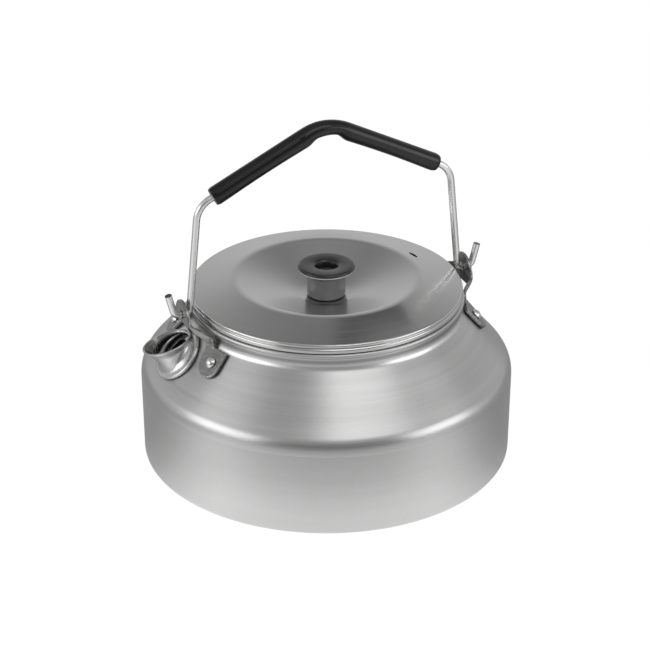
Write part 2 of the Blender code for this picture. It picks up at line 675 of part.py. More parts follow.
def grip_path():
    """Part of the bail's centre line that the grip covers."""
    whole = spread_points(bail_path(), GRIP_STEP)
    inner = [point for point in whole if abs(point.x) < GRIP_REACH - GRIP_END_STEP]
    ends = []
    for near, after in ((inner[0], inner[1]), (inner[-1], inner[-2])):
        along = (near - after).normalized()
        ends.append(near + along * (GRIP_REACH - abs(near.x)) / abs(along.x))
    return [ends[0]] + inner + [ends[1]]


def build_grip(group, cutters, mat):
    path = grip_path()
    outer = []
    inner = []
    for i, point in enumerate(path):
        ahead = path[min(i + 1, len(path) - 1)]
        behind = path[max(i - 1, 0)]
        along = (ahead - behind).normalized()
        up = Vector((-along.z, 0.0, along.x))
        stretch = 1.0
        if 0 < i < len(path) - 1:
            stretch = 1.0 / math.cos((ahead - point).angle(point - behind) / 2.0)
        chamfer = GRIP_END_CHAMFER if i in (0, len(path) - 1) else 0.0
        ring = []
        bore = []
        for k in range(GRIP_SIDES):
            angle = TURN * k / GRIP_SIDES
            side = Vector((0.0, -math.sin(angle), 0.0))
            lift = up * math.cos(angle)
            reach = grip_size(point.x, math.cos(angle)) - chamfer
            ring.append(point + (lift * stretch + side) * reach)
            bore.append(point + (lift * stretch + side) * GRIP_BORE_RADIUS)
        outer.append(ring)
        inner.append(bore)
    mesh = grid_mesh(outer + inner[::-1], closed_rows=True)
    grip = bmesh_object("bail_grip", mesh, group)
    tidy(grip, mat)
    boolean(grip, grip_slit(path[0], cutters), "DIFFERENCE")
    return tidy(grip, mat)


def grip_slit(end, cutters):
    """Cutter for the slit along the spout half, open at the grip's end."""
    along = Vector((math.cos(PEAK_SLOPE), 0.0, math.sin(PEAK_SLOPE)))
    up = Vector((-along.z, 0.0, along.x))
    radial = up * math.cos(GRIP_SLIT_ANGLE) - Vector((0.0, math.sin(GRIP_SLIT_ANGLE), 0.0))
    first = end - along * GRIP_SLIT_WIDTH
    last = end + along * (-GRIP_SLIT_START - end.x) / along.x
    turn = Matrix((along, radial, along.cross(radial))).transposed().to_4x4()
    scale = Matrix.Diagonal(((last - first).length, 2.0 * GRIP_SLIT_DEPTH, GRIP_SLIT_WIDTH, 1.0))
    place = Matrix.Translation((first + last) / 2.0 + radial * GRIP_SPOUT_HALF_RADIUS)
    mesh = bmesh.new()
    bmesh.ops.create_cube(mesh, size=1.0)
    mesh.transform(place @ turn @ scale)
    return bmesh_object("grip_slit", mesh, cutters)


def lid_skin(inset):
    """Lid top skin from the axis out to the brim, moved down by the inset."""
    corners = [Vector((0.0, LID_FLOOR_Z)), Vector((LID_DISH_FLAT, LID_FLOOR_Z)),
               Vector((LID_CREST_RADIUS, LID_CREST_Z)), Vector((LID_RADIUS - LID_HEM_RADIUS, LID_BRIM_Z))]
    path = rounded_path(corners, (LID_DISH_BEND, LID_CREST_BEND), 4)
    return [(point.x, point.y - inset) for point in path]


def build_lid(group, cutters, mat):
    top = lid_skin(0.0)
    hem = LID_HEM_RADIUS
    ring_radius = LID_RADIUS - hem
    lower_z = LID_BOTTOM_Z + hem
    upper_z = lower_z + 2.0 * hem + BRIM_GAP
    side = arc((ring_radius, upper_z), hem, 70.0, -50.0, 4)
    side += [(LID_RADIUS - LID_GROOVE_DEPTH, (lower_z + upper_z) / 2.0)]
    side += arc((ring_radius, lower_z), hem, 50.0, -90.0, 5)
    plug_radius = NECK_RADIUS - BODY_SHEET - PLUG_CLEARANCE
    plug_bottom = LID_BOTTOM_Z - PLUG_DEPTH
    plug_inner = plug_radius - LID_SHEET
    plug = [(plug_radius, LID_BOTTOM_Z), (plug_radius, plug_bottom + PLUG_BEVEL),
            (plug_radius - PLUG_BEVEL, plug_bottom), (plug_inner, plug_bottom)]
    ceiling = [point for point in lid_skin(LID_SHEET) if point[0] < plug_inner - PLUG_CORNER]
    profile = top + side + plug + [(plug_inner, LID_BRIM_Z - LID_SHEET)] + ceiling[::-1]
    lid = turned("lid", profile, group)
    middle = Vector((0.0, 0.0, LID_FLOOR_Z))
    half_cut = Vector((0.0, 0.0, LID_DISH_DEPTH))
    hole = cylinder("lid_screw_hole", SCREW_BORE_RADIUS, middle - half_cut, middle + half_cut, cutters,
                    SCREW_STEPS)
    boolean(lid, hole, "DIFFERENCE")
    vent_ring = LID_CREST_RADIUS + VENT_CREST_SPACE
    spot = Vector((vent_ring * math.cos(VENT_AZIMUTH), vent_ring * math.sin(VENT_AZIMUTH), LID_CREST_Z))
    vent = cylinder("lid_vent_hole", VENT_RADIUS, spot - half_cut, spot + half_cut, cutters, VENT_SIDES)
    boolean(lid, vent, "DIFFERENCE")
    return tidy(lid, mat)


def build_knob(group, cutters, mat):
    half = KNOB_FLANGE_THICKNESS / 2.0
    under = KNOB_TOP_Z - KNOB_FLANGE_THICKNESS
    edge = arc((KNOB_FLANGE_RADIUS - half, KNOB_TOP_Z - half), half, 90.0, -90.0, 6)
    waist = rounded_path([Vector((KNOB_FLANGE_RADIUS - KNOB_FLANGE_THICKNESS, under)),
                          Vector((KNOB_NECK_RADIUS, under)),
                          Vector((KNOB_NECK_RADIUS, KNOB_BASE_Z + KNOB_FOOT_BEVEL))], (KNOB_WAIST_RADIUS,), 3)
    profile = [(0.0, KNOB_WELL_Z), (KNOB_WELL_RADIUS, KNOB_WELL_Z),
               (KNOB_WELL_RADIUS, KNOB_TOP_Z - KNOB_WELL_CHAMFER),
               (KNOB_WELL_RADIUS + KNOB_WELL_CHAMFER, KNOB_TOP_Z)]
    profile += edge + [(p.x, p.y) for p in waist]
    profile += [(KNOB_NECK_RADIUS - KNOB_FOOT_BEVEL, KNOB_BASE_Z), (0.0, KNOB_BASE_Z)]
    knob = turned("lid_knob", profile, group, KNOB_STEPS)
    bore = cylinder("knob_bore", SCREW_BORE_RADIUS, Vector((0.0, 0.0, KNOB_BASE_Z - SCREW_RADIUS)),
                    Vector((0.0, 0.0, KNOB_TOP_Z)), cutters, SCREW_STEPS)
    boolean(knob, bore, "DIFFERENCE")
    return tidy(knob, mat)


def build_screw(group, cutters, mat):
    head = KNOB_WELL_Z + JOIN_GAP
    dome = head + SCREW_HEAD_HEIGHT
    tip = NUT_TOP_Z - NUT_HEIGHT - SCREW_TIP_LENGTH
    crown = [(SCREW_HEAD_RADIUS * math.sin(a), dome - SCREW_HEAD_ROUNDING * (1.0 - math.cos(a)))
             for a in (QUARTER * k / 4 for k in range(5))]
    shank = [(SCREW_HEAD_RADIUS, head), (SCREW_RADIUS, head), (SCREW_RADIUS, tip + SCREW_TIP_BEVEL),
             (SCREW_RADIUS - SCREW_TIP_BEVEL, tip), (0.0, tip)]
    screw = turned("knob_screw", crown + shank, group, SCREW_STEPS)
    reach = SCREW_HEAD_RADIUS + WELL_CLEARANCE
    half = SCREW_SLOT_WIDTH / 2.0
    slot = block("screw_slot", (-reach, -half, dome - SCREW_SLOT_DEPTH),
                 (reach, half, dome + SCREW_SLOT_DEPTH), cutters)
    boolean(screw, slot, "DIFFERENCE")
    return tidy(screw, mat)


def ring_piece(name, radius, height, top, segments, group, cutters, mat):
    """Washer or nut on the screw, below the given height."""
    low = Vector((0.0, 0.0, top - height))
    high = Vector((0.0, 0.0, top))
    over = Vector((0.0, 0.0, SCREW_RADIUS))
    piece = cylinder(name, radius, low, high, group, segments)
    hole = cylinder(name + "_bore", SCREW_BORE_RADIUS, low - over, high + over, cutters, SCREW_STEPS)
    boolean(piece, hole, "DIFFERENCE")
    return tidy(piece, mat)


def main():
    clear_scene()
    group = collection("camping_kettle")
    cutters = collection("cutters")
    aluminium = finish("spun_aluminium", (0.62, 0.62, 0.61), 1.0, 0.32)
    build_body(group, cutters, aluminium)
    build_spout(group, finish("pressed_aluminium_spout", (0.66, 0.66, 0.65), 1.0, 0.28))
    ear_finish = finish("pressed_ear_sheet", (0.50, 0.50, 0.50), 1.0, 0.35)
    build_ear("spout_side_ear", -1.0, group, cutters, ear_finish)
    build_ear("far_side_ear", 1.0, group, cutters, ear_finish)
    rivet_finish = finish("rivet_aluminium", (0.70, 0.70, 0.69), 1.0, 0.25)
    for name, side, azimuth in rivet_places():
        build_rivet(name, side, azimuth, group, rivet_finish)
    build_wire(group, finish("bail_steel", (0.68, 0.68, 0.67), 1.0, 0.22))
    build_grip(group, cutters, finish("grip_plastic", (0.015, 0.015, 0.016), 0.0, 0.42))
    build_lid(group, cutters, finish("polished_lid_aluminium", (0.66, 0.66, 0.65), 1.0, 0.2))
    build_knob(group, cutters, finish("knob_plastic", (0.03, 0.03, 0.03), 0.0, 0.4))
    build_screw(group, cutters, finish("screw_steel", (0.45, 0.45, 0.45), 1.0, 0.35))
    fixing = finish("fixing_steel", (0.55, 0.55, 0.55), 1.0, 0.35)
    ring_piece("knob_washer", WASHER_RADIUS, WASHER_THICKNESS, WASHER_TOP_Z, WASHER_SIDES, group, cutters,
               fixing)
    ring_piece("knob_nut", NUT_RADIUS, NUT_HEIGHT, NUT_TOP_Z, NUT_SIDES, group, cutters, fixing)


main()
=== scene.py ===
"""Camping kettle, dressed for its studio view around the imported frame.

Metres, +Z up, origin at the middle of the base, spout toward -X, bail hinge along X.
"""
from __future__ import annotations

import logging
import math
from dataclasses import dataclass, replace
from enum import Enum
from typing import Any, Callable, Mapping, Sequence

import bmesh
import bpy
from mathutils import Matrix, Vector


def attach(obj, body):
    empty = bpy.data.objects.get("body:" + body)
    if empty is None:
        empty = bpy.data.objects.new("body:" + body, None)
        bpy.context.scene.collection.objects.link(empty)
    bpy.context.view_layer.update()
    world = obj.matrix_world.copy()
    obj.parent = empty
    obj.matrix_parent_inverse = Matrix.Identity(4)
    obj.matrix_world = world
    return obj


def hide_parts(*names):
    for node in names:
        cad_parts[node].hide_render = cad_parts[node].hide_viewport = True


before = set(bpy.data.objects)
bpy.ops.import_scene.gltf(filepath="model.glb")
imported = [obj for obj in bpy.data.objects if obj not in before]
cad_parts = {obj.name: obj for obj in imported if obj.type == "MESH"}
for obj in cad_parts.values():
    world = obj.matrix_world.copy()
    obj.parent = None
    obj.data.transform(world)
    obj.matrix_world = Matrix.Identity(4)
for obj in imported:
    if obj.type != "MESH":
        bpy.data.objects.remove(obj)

LOG = logging.getLogger("camping_kettle")
TURN = 2.0 * math.pi
MM = 0.001
AXIS_LIMIT = 1e-6
SMOOTH_ANGLE = math.radians(38.0)

Point2 = tuple[float, float]
Point3 = tuple[float, float, float]
Height = Callable[[float, float], float]


class BodyName(Enum):
    """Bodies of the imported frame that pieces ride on."""

    KETTLE = "kettle"
    BAIL = "bail"
    LID = "lid_assembly"


class Side(Enum):
    """Which end of the bail hinge a piece stands at."""

    SPOUT = -1.0
    FAR = 1.0


class Change(Enum):
    """What one solid does to another."""

    CUT = "DIFFERENCE"
    JOIN = "UNION"


class Ray(Enum):
    """Kinds of ray that a light path tells apart."""

    CAMERA = "Is Camera Ray"
    MIRROR = "Is Glossy Ray"
    THROUGH = "Is Transmission Ray"


# Shader building


class Term:
    """A shader socket that takes part in Python arithmetic."""

    def __init__(self, graph: "ShaderGraph", socket: bpy.types.NodeSocket) -> None:
        """Keep the socket and the graph that new nodes go to.

        Args:
            graph: The shader graph being built.
            socket: The output socket that this term stands for.
        """
        self.graph = graph
        self.socket = socket

    def __add__(self, other: Any) -> "Term":
        """Sum of two terms."""
        return self.graph.math("ADD", self, other)

    def __radd__(self, other: Any) -> "Term":
        """Sum with a number on the left."""
        return self.graph.math("ADD", other, self)

    def __sub__(self, other: Any) -> "Term":
        """Difference of two terms."""
        return self.graph.math("SUBTRACT", self, other)

    def __rsub__(self, other: Any) -> "Term":
        """Difference with a number on the left."""
        return self.graph.math("SUBTRACT", other, self)

    def __mul__(self, other: Any) -> "Term":
        """Product of two terms."""
        return self.graph.math("MULTIPLY", self, other)

    def __rmul__(self, other: Any) -> "Term":
        """Product with a number on the left."""
        return self.graph.math("MULTIPLY", other, self)

    def __truediv__(self, other: Any) -> "Term":
        """Quotient of two terms."""
        return self.graph.math("DIVIDE", self, other)

    def ramp(self, low: float, high: float) -> "Term":
        """Rise smoothly from 0 at low to 1 at high.

        Args:
            low: Value at which the result is 0.
            high: Value at which the result is 1.

        Returns:
            The eased term.
        """
        node = self.graph.node("ShaderNodeMapRange", {"interpolation_type": "SMOOTHSTEP"},
                               {"Value": self, "From Min": low, "From Max": high})
        return Term(self.graph, node.outputs["Result"])


class ShaderGraph:
    """Nodes of one material or of the world."""

    def __init__(self, tree: bpy.types.NodeTree) -> None:
        """Empty the tree and keep it.

        Args:
            tree: The node tree to fill.
        """
        self.tree = tree
        tree.nodes.clear()

    def node(self, kind: str, settings: Mapping[str, Any] | None = None,
             values: Mapping[Any, Any] | None = None) -> bpy.types.Node:
        """Add one node.

        Args:
            kind: The node's type.
            settings: Its properties; stops are the places and greys of a ramp.
            values: Its sockets, by name or number, with numbers or terms.

        Returns:
            The new node.
        """
        node = self.tree.nodes.new(kind)
        for key, value in (settings or {}).items():
            if key == "stops":
                self._set_stops(node, value)
            else:
                setattr(node, key, value)
        for key, value in (values or {}).items():
            if isinstance(value, Term):
                self.tree.links.new(value.socket, node.inputs[key])
            else:
                node.inputs[key].default_value = value
        return node

    @staticmethod
    def _set_stops(node: bpy.types.Node, stops: Sequence[Point2]) -> None:
        """Give a colour ramp its grey stops.

        Args:
            node: The ramp node.
            stops: Places and grey levels, in order.
        """
        ramp = node.color_ramp
        while len(ramp.elements) < len(stops):
            ramp.elements.new(1.0)
        for element, (place, level) in zip(ramp.elements, stops):
            element.position = place
            element.color = (level, level, level, 1.0)

    def math(self, operation: str, *values: Any) -> Term:
        """Add a Math node and return its result."""
        node = self.node("ShaderNodeMath", {"operation": operation}, dict(enumerate(values)))
        return Term(self, node.outputs[0])

    def vector_math(self, operation: str, *values: Any) -> Term:
        """Add a Vector Math node and return its vector result."""
        node = self.node("ShaderNodeVectorMath", {"operation": operation}, dict(enumerate(values)))
        return Term(self, node.outputs["Vector"])

    def tinted(self, colour: Sequence[float], level: Term) -> Term:
        """Scale a colour by a level.

        Args:
            colour: Red, green and blue.
            level: The factor.

        Returns:
            The scaled colour.
        """
        node = self.node("ShaderNodeVectorMath", {"operation": "SCALE"}, {0: tuple(colour), "Scale": level})
        return Term(self, node.outputs["Vector"])

    def place(self) -> tuple[Term, Term, Term, Term]:
        """Object coordinates.

        Returns:
            The vector, then its three numbers.
        """
        source = self.node("ShaderNodeTexCoord")
        vector = Term(self, source.outputs["Object"])
        parts = self.node("ShaderNodeSeparateXYZ", values={0: vector})
        return vector, *(Term(self, parts.outputs[i]) for i in range(3))

    def from_axis(self, x: Term, y: Term) -> Term:
        """Distance from the kettle's axis."""
        return self.math("SQRT", x * x + y * y)

    def noise(self, vector: Term, scale: float = 1.0, detail: float = 2.0, roughness: float = 0.5) -> Term:
        """Noise between 0 and 1 at a vector.

        Args:
            vector: Where the noise is read.
            scale: Cells to a unit of the vector.
            detail: Number of finer layers.
            roughness: Weight of the finer layers.

        Returns:
            The noise.
        """
        node = self.node("ShaderNodeTexNoise", {"noise_dimensions": "3D"},
                         {"Vector": vector, "Scale": scale, "Detail": detail, "Roughness": roughness})
        return Term(self, node.outputs["Fac"])

    def rays(self, *kinds: Ray) -> Term:
        """Tell rays of some kinds from all others.

        Args:
            kinds: The kinds wanted.

        Returns:
            1 for a ray of any of these kinds and 0 for others.
        """
        path = self.node("ShaderNodeLightPath")
        wanted, *others = (Term(self, path.outputs[kind.value]) for kind in kinds)
        for other in others:
            wanted = self.math("MAXIMUM", wanted, other)
        return wanted

    def graded(self, stops: Sequence[Point2], value: Term) -> Term:
        """Grey level at a value, read off the stops of a ramp."""
        node = self.node("ShaderNodeValToRGB", {"stops": stops}, {"Fac": value})
        return Term(self, node.outputs[0])

    def blend(self, share: Term, first: bpy.types.Node, second: bpy.types.Node) -> Term:
        """Mix two shaders.

        Args:
            share: Share of the second one.
            first: The shader where the share is 0.
            second: The shader where the share is 1.

        Returns:
            The mixed shader.
        """
        node = self.node("ShaderNodeMixShader", values={0: share, 1: Term(self, first.outputs[0]),
                                                        2: Term(self, second.outputs[0])})
        return Term(self, node.outputs[0])

    def combined(self, x: Any, y: Any, z: Any) -> Term:
        """Vector from three numbers or terms."""
        node = self.node("ShaderNodeCombineXYZ", values={0: x, 1: y, 2: z})
        return Term(self, node.outputs[0])

    def finish(self, colour: Term, roughness: Any, height: Term, depth: float,
               constants: Mapping[str, Any]) -> None:
        """Close the material with a Principled shader and a bump.

        Args:
            colour: Base colour.
            roughness: Roughness, a number or a term.
            height: Height for the bump.
            depth: Metres that a height of 1 stands for.
            constants: Sockets that are alike all over.
        """
        bump = self.node("ShaderNodeBump", values={"Strength": 1.0, "Distance": depth, "Height": height})
        shader = self.node("ShaderNodeBsdfPrincipled",
                           values={"Base Color": colour, "Roughness": roughness,
                                   "Normal": Term(self, bump.outputs[0]), **constants})
        self.node("ShaderNodeOutputMaterial", values={"Surface": Term(self, shader.outputs[0])})


def new_graph(name: str) -> tuple[bpy.types.Material, ShaderGraph]:
    """Make an empty material.

    Args:
        name: Its name.

    Returns:
        The material and its graph.
    """
    material = bpy.data.materials.new(name)
    material.use_nodes = True
    return material, ShaderGraph(material.node_tree)


# Finishes


@dataclass(frozen=True)
class SpunMetal:
    """Sheet spun on a lathe: rings of turning marks round the axis over a satin or polished skin."""

    name: str
    tone: Point3
    roughness: float
    ring_pitch: float
    ring_depth: float
    ring_tint: float
    grain_pitch: float
    grain_tint: float
    broad_tint: float = 0.0
    broad_rings: float = 6.0
    slant: Point2 = (0.67, 0.74)
    wander: float = 9.0
    wall_top: float = 0.0
    wall_edge: Point2 = (-2.2 * MM, 2.8 * MM)
    wall_rings: float = 0.25
    cloud_scale: float = 38.0
    ring_rough: float = 0.10
    grain_rough: float = 0.10
    cloud_rough: float = 0.05
    ring_share: float = 0.7
    rim: float = 0.0
    # Bands of painted shade (negative gain) and painted highlight (positive gain) round the axis; each runs
    # between two heights from the rim and has a gain.
    shade_and_highlight_bands: tuple[Point3, ...] = ()
    band_edge: float = 0.4

    def material(self) -> bpy.types.Material:
        """Build the metal: rings along the slanted skin, fainter on the wall, over a fine grain, with bands
        of painted shade and painted highlight by height.

        Returns:
            The material.
        """
        material, graph = new_graph(self.name)
        where, x, y, z = graph.place()
        out, down = self.slant
        run = graph.from_axis(x, y) * out - z * down
        around = (x * self.wander, y * self.wander)
        rings = graph.noise(graph.combined(run / self.ring_pitch, *around), detail=3.0, roughness=0.6)
        broad = graph.noise(graph.combined(run / (self.ring_pitch * self.broad_rings), *around), detail=1.0)
        grain = graph.noise(where, 1.0 / self.grain_pitch, roughness=0.7)
        cloud = graph.noise(where, self.cloud_scale)
        shown = self.wall_rings + (z - self.wall_top).ramp(*self.wall_edge) * (1.0 - self.wall_rings)
        level = (1.0 + ((rings - 0.5) * self.ring_tint + (broad - 0.5) * self.broad_tint) * shown
                 + (grain - 0.5) * self.grain_tint)
        # Painted shade and painted highlight: the tone is scaled in bands by height below the rim.
        above = z - self.rim
        for low, high, gain in self.shade_and_highlight_bands:
            soft = (high - low) * self.band_edge
            level = level * (1.0 + above.ramp(low, low + soft) * above.ramp(high, high - soft) * gain)
        roughness = (self.roughness + (rings - 0.5) * self.ring_rough * shown
                     + (grain - 0.5) * self.grain_rough + (cloud - 0.5) * self.cloud_rough)
        height = rings * self.ring_share * shown + grain * (1.0 - self.ring_share)
        graph.finish(graph.tinted(self.tone, level), roughness, height, self.ring_depth, {"Metallic": 1.0})
        return material


@dataclass(frozen=True)
class PressedMetal:
    """Sheet pressed in a die, or a drawn wire: faint waviness, fine scratches and handling marks."""

    name: str
    tone: Point3
    roughness: float
    wave_pitch: float
    wave_depth: float
    scratch_pitch: float = 0.4 * MM
    scratch_along: Point3 = (1.0, 1.0, 0.12)
    tint: float = 0.12
    scratch_rough: float = 0.14
    wave_rough: float = 0.08
    wave_share: float = 0.85

    def material(self) -> bpy.types.Material:
        """Build the metal: slow waves and scratches drawn out along Z.

        Returns:
            The material.
        """
        material, graph = new_graph(self.name)
        where, x, _, z = graph.place()
        stretched = graph.vector_math("MULTIPLY", where, self.scratch_along)
        scratches = graph.noise(stretched, 1.0 / self.scratch_pitch, roughness=0.6)
        waves = graph.noise(where, 1.0 / self.wave_pitch)
        level = (1.0 + (scratches - 0.5) * self.tint + (waves - 0.5) * self.tint) * self.patches(graph, x, z)
        roughness = (self.roughness + (scratches - 0.5) * self.scratch_rough
                     + (waves - 0.5) * self.wave_rough)
        height = waves * self.wave_share + scratches * (1.0 - self.wave_share)
        graph.finish(graph.tinted(self.tone, level), roughness, height, self.wave_depth, {"Metallic": 1.0})
        return material

    def patches(self, _graph: ShaderGraph, _x: Term, _z: Term) -> Any:
        """Brightness of the tone at a place: alike all over."""
        return 1.0


@dataclass(frozen=True)
class WireSteel(PressedMetal):
    """Drawn wire whose sawn ends are dull and dark."""

    foot: float = 0.0
    hook_edge: Point2 = (3.33 * MM, 4.33 * MM)
    hook_lean: float = 0.0
    tip: float = 0.0
    cut_edge: Point2 = (-0.12 * MM, -0.05 * MM)
    cut_tone: float = 0.12

    def patches(self, graph: ShaderGraph, x: Term, z: Term) -> Any:
        """Darken what lies beyond the saw cut.

        Args:
            graph: The material's graph.
            x: Distance along the hinge line, with its sign.
            z: Height.

        Returns:
            Brightness of the tone, from the distance along the hook.
        """
        length = math.hypot(1.0, self.hook_lean)
        away = graph.math("ABSOLUTE", x)
        beyond = (away * self.hook_lean + z) / length - self.tip
        hook = (away - self.foot).ramp(*self.hook_edge)
        return 1.0 - hook * beyond.ramp(*self.cut_edge) * (1.0 - self.cut_tone)


@dataclass(frozen=True)
class MouldedPlastic:
    """Black moulding: fine grain, handling sheen and a paler, rubbed look in patches."""

    name: str
    tone: Point3
    roughness: float
    grain_pitch: float
    grain_depth: float
    rub: float
    coat: float = 0.0
    coat_rough: float = 0.12
    sheen: float = 0.35
    rub_scale: float = 160.0
    rub_edge: Point2 = (0.45, 0.75)
    grain_tint: float = 0.3
    grain_rough: float = 0.15
    rub_rough: float = 0.06

    def material(self) -> bpy.types.Material:
        """Build the plastic: fine grain with rubbed, paler patches.

        Returns:
            The material.
        """
        material, graph = new_graph(self.name)
        where, x, y, z = graph.place()
        grain = graph.noise(where, 1.0 / self.grain_pitch, detail=3.0, roughness=0.6)
        rubbed = graph.noise(where, self.rub_scale, roughness=0.6).ramp(*self.rub_edge)
        radius = graph.from_axis(x, y)
        # For the knob, patches() paints shade in the well and highlights on the neck and flange edge.
        level = (1.0 + rubbed * self.rub + (grain - 0.5) * self.grain_tint) * self.patches(radius, z)
        roughness = self.roughness + (grain - 0.5) * self.grain_rough - rubbed * self.rub_rough
        graph.finish(graph.tinted(self.tone, level), roughness, grain, self.grain_depth,
                     {"Metallic": 0.0, "Coat Weight": self.gloss(radius), "Coat Roughness": self.coat_rough,
                      "Specular IOR Level": self.sheen})
        return material

    def patches(self, _radius: Term, _z: Term) -> Any:
        """Brightness of the tone at a distance from the axis and a height: alike all over."""
        return 1.0

    def gloss(self, _radius: Term) -> Any:
        """Coat weight at a distance from the axis: alike all over."""
        return self.coat


@dataclass(frozen=True)
class SpoolPlastic(MouldedPlastic):
    """Knob plastic: black painted shade in the well, a dark flange, a painted highlight on the neck with
    painted shadow just under the flange, and a painted highlight along the flange's lower edge.
    """

    well: float = 0.0
    well_shade_edge: Point2 = (-0.3 * MM, 0.1 * MM)
    flange: float = 0.0
    flange_edge: Point2 = (-1.6 * MM, -1.1 * MM)
    top: float = 0.0
    top_edge: Point2 = (-1.1 * MM, -1.4 * MM)
    under: float = 0.0
    neck_shadow_edge: Point2 = (-2.1 * MM, -1.2 * MM)
    neck_highlight_gain: float = 1.0
    edge_highlight_gain: float = 1.0

    def patches(self, radius: Term, z: Term) -> Any:
        """Painted shade in the well, a painted highlight on the neck that fades out just under the flange to
        leave painted shadow there, and a painted highlight along the flange's lower edge.

        Args:
            radius: Distance from the axis.
            z: Height.

        Returns:
            Brightness of the tone.
        """
        # Painted highlight on the neck, left out just under the flange as painted shadow.
        neck = (1.0 - (z - self.under).ramp(*self.neck_shadow_edge)) * self.neck_highlight_gain
        low = (z - self.top).ramp(*self.top_edge)
        # Painted highlight along the flange's lower rounded edge.
        edge_highlight = (radius - self.flange).ramp(*self.flange_edge) * low * self.edge_highlight_gain
        return self._outside_well_shade(radius) * (1.0 + neck + edge_highlight)

    def gloss(self, radius: Term) -> Any:
        """No coat in the well, which is kept dark as painted shade."""
        return self._outside_well_shade(radius) * self.coat

    def _outside_well_shade(self, radius: Term) -> Term:
        """0 in the well and 1 outside it: the well's painted shade."""
        return (radius - self.well).ramp(*self.well_shade_edge)


# The body's first band is painted shade on the neck under the rim bead; the second is a painted highlight
# lower down at the neck root.
BODY_METAL = SpunMetal(
    name="spun_satin_aluminium", tone=(0.56, 0.56, 0.558), roughness=0.32, ring_pitch=0.45 * MM,
    ring_depth=0.012 * MM, ring_tint=0.20, grain_pitch=0.35 * MM, grain_tint=0.26, broad_tint=0.24,
    shade_and_highlight_bands=((-4.7 * MM, -2.3 * MM, -0.4), (-7.1 * MM, -4.5 * MM, 0.45)))
LID_METAL = SpunMetal(
    name="polished_lid_aluminium", tone=(0.62, 0.62, 0.617), roughness=0.20, ring_pitch=0.5 * MM,
    ring_depth=0.0015 * MM, ring_tint=0.05, grain_pitch=0.5 * MM, grain_tint=0.04)
SPOUT_METAL = PressedMetal(
    name="pressed_spout_aluminium", tone=(0.62, 0.62, 0.617), roughness=0.25, wave_pitch=3.0 * MM,
    wave_depth=0.04 * MM)
EAR_METAL = PressedMetal(
    name="pressed_ear_aluminium", tone=(0.33, 0.33, 0.328), roughness=0.24, wave_pitch=2.6 * MM,
    wave_depth=0.26 * MM)
RIVET_METAL = PressedMetal(
    name="rivet_aluminium_bright", tone=(0.80, 0.80, 0.795), roughness=0.22, wave_pitch=1.5 * MM,
    wave_depth=0.01 * MM)
WIRE_METAL = WireSteel(
    name="drawn_wire_steel", tone=(0.85, 0.85, 0.845), roughness=0.26, wave_pitch=2.5 * MM,
    wave_depth=0.002 * MM, tint=0.06)
# The screw's near-black tone is painted shade for the knob's deep well.
SCREW_METAL = PressedMetal(
    name="dull_screw_steel", tone=(0.015, 0.015, 0.015), roughness=0.5, wave_pitch=1.0 * MM,
    wave_depth=0.01 * MM)
FIXING_METAL = PressedMetal(
    name="plated_fixing_steel", tone=(0.55, 0.55, 0.54), roughness=0.35, wave_pitch=1.0 * MM,
    wave_depth=0.01 * MM)
GRIP_PLASTIC = MouldedPlastic(
    name="black_sleeve_plastic", tone=(0.004, 0.004, 0.0041), roughness=0.24, grain_pitch=0.5 * MM,
    grain_depth=0.012 * MM, rub=0.5, sheen=0.5)
# The knob's neck and edge gains paint highlights, and its well is painted shade.
KNOB_PLASTIC = SpoolPlastic(
    name="black_knob_plastic", tone=(0.022, 0.022, 0.022), roughness=0.36, grain_pitch=0.4 * MM,
    grain_depth=0.02 * MM, rub=0.5, coat=0.45, neck_highlight_gain=9.0, edge_highlight_gain=42.0)


# Mesh building


def mesh_object(name: str, mesh: bmesh.types.BMesh) -> bpy.types.Object:
    """Turn a bmesh into a linked object and free it.

    Args:
        name: Name of the object and its mesh.
        mesh: The mesh, which is freed.

    Returns:
        The object, at the origin.
    """
    data = bpy.data.meshes.new(name)
    mesh.to_mesh(data)
    mesh.free()
    item = bpy.data.objects.new(name, data)
    bpy.context.scene.collection.objects.link(item)
    return item


def applied(item: bpy.types.Object) -> bpy.types.Object:
    """Replace an object's mesh by its evaluated one and drop its modifiers.

    Args:
        item: The object to settle.

    Returns:
        The same object.
    """
    graph = bpy.context.evaluated_depsgraph_get()
    data = bpy.data.meshes.new_from_object(item.evaluated_get(graph))
    item.modifiers.clear()
    item.data = data
    return item


def combine(item: bpy.types.Object, tool: bpy.types.Object, change: Change) -> None:
    """Cut or join one solid with another, which is removed.

    Args:
        item: The solid to change.
        tool: The solid that cuts or joins it.
        change: What the tool does.
    """
    step = item.modifiers.new("change", "BOOLEAN")
    step.operation = change.value
    step.solver = "EXACT"
    step.object = tool
    applied(item)
    bpy.data.objects.remove(tool)


def cylinder(name: str, radius: float, start: Vector, end: Vector, segments: int = 48) -> bpy.types.Object:
    """A closed cylinder between two points.

    Args:
        name: Name of the object.
        radius: Its radius.
        start: Centre of one end.
        end: Centre of the other end.
        segments: Sides round it.

    Returns:
        The cylinder.
    """
    mesh = bmesh.new()
    axis = end - start
    bmesh.ops.create_cone(mesh, cap_ends=True, segments=segments, radius1=radius, radius2=radius,
                          depth=axis.length)
    turn = axis.to_track_quat("Z", "Y").to_matrix().to_4x4()
    mesh.transform(Matrix.Translation((start + end) / 2.0) @ turn)
    return mesh_object(name, mesh)


def arc(centre: Point2, radius: float, start: float, end: float, count: int) -> list[Point2]:
    """Points on an arc.

    Args:
        centre: Its centre.
        radius: Its radius.
        start: First angle in degrees.
        end: Last angle in degrees.
        count: Number of steps.

    Returns:
        The points, both ends included.
    """
    angles = (math.radians(start + (end - start) * i / count) for i in range(count + 1))
    return [(centre[0] + radius * math.cos(a), centre[1] + radius * math.sin(a)) for a in angles]


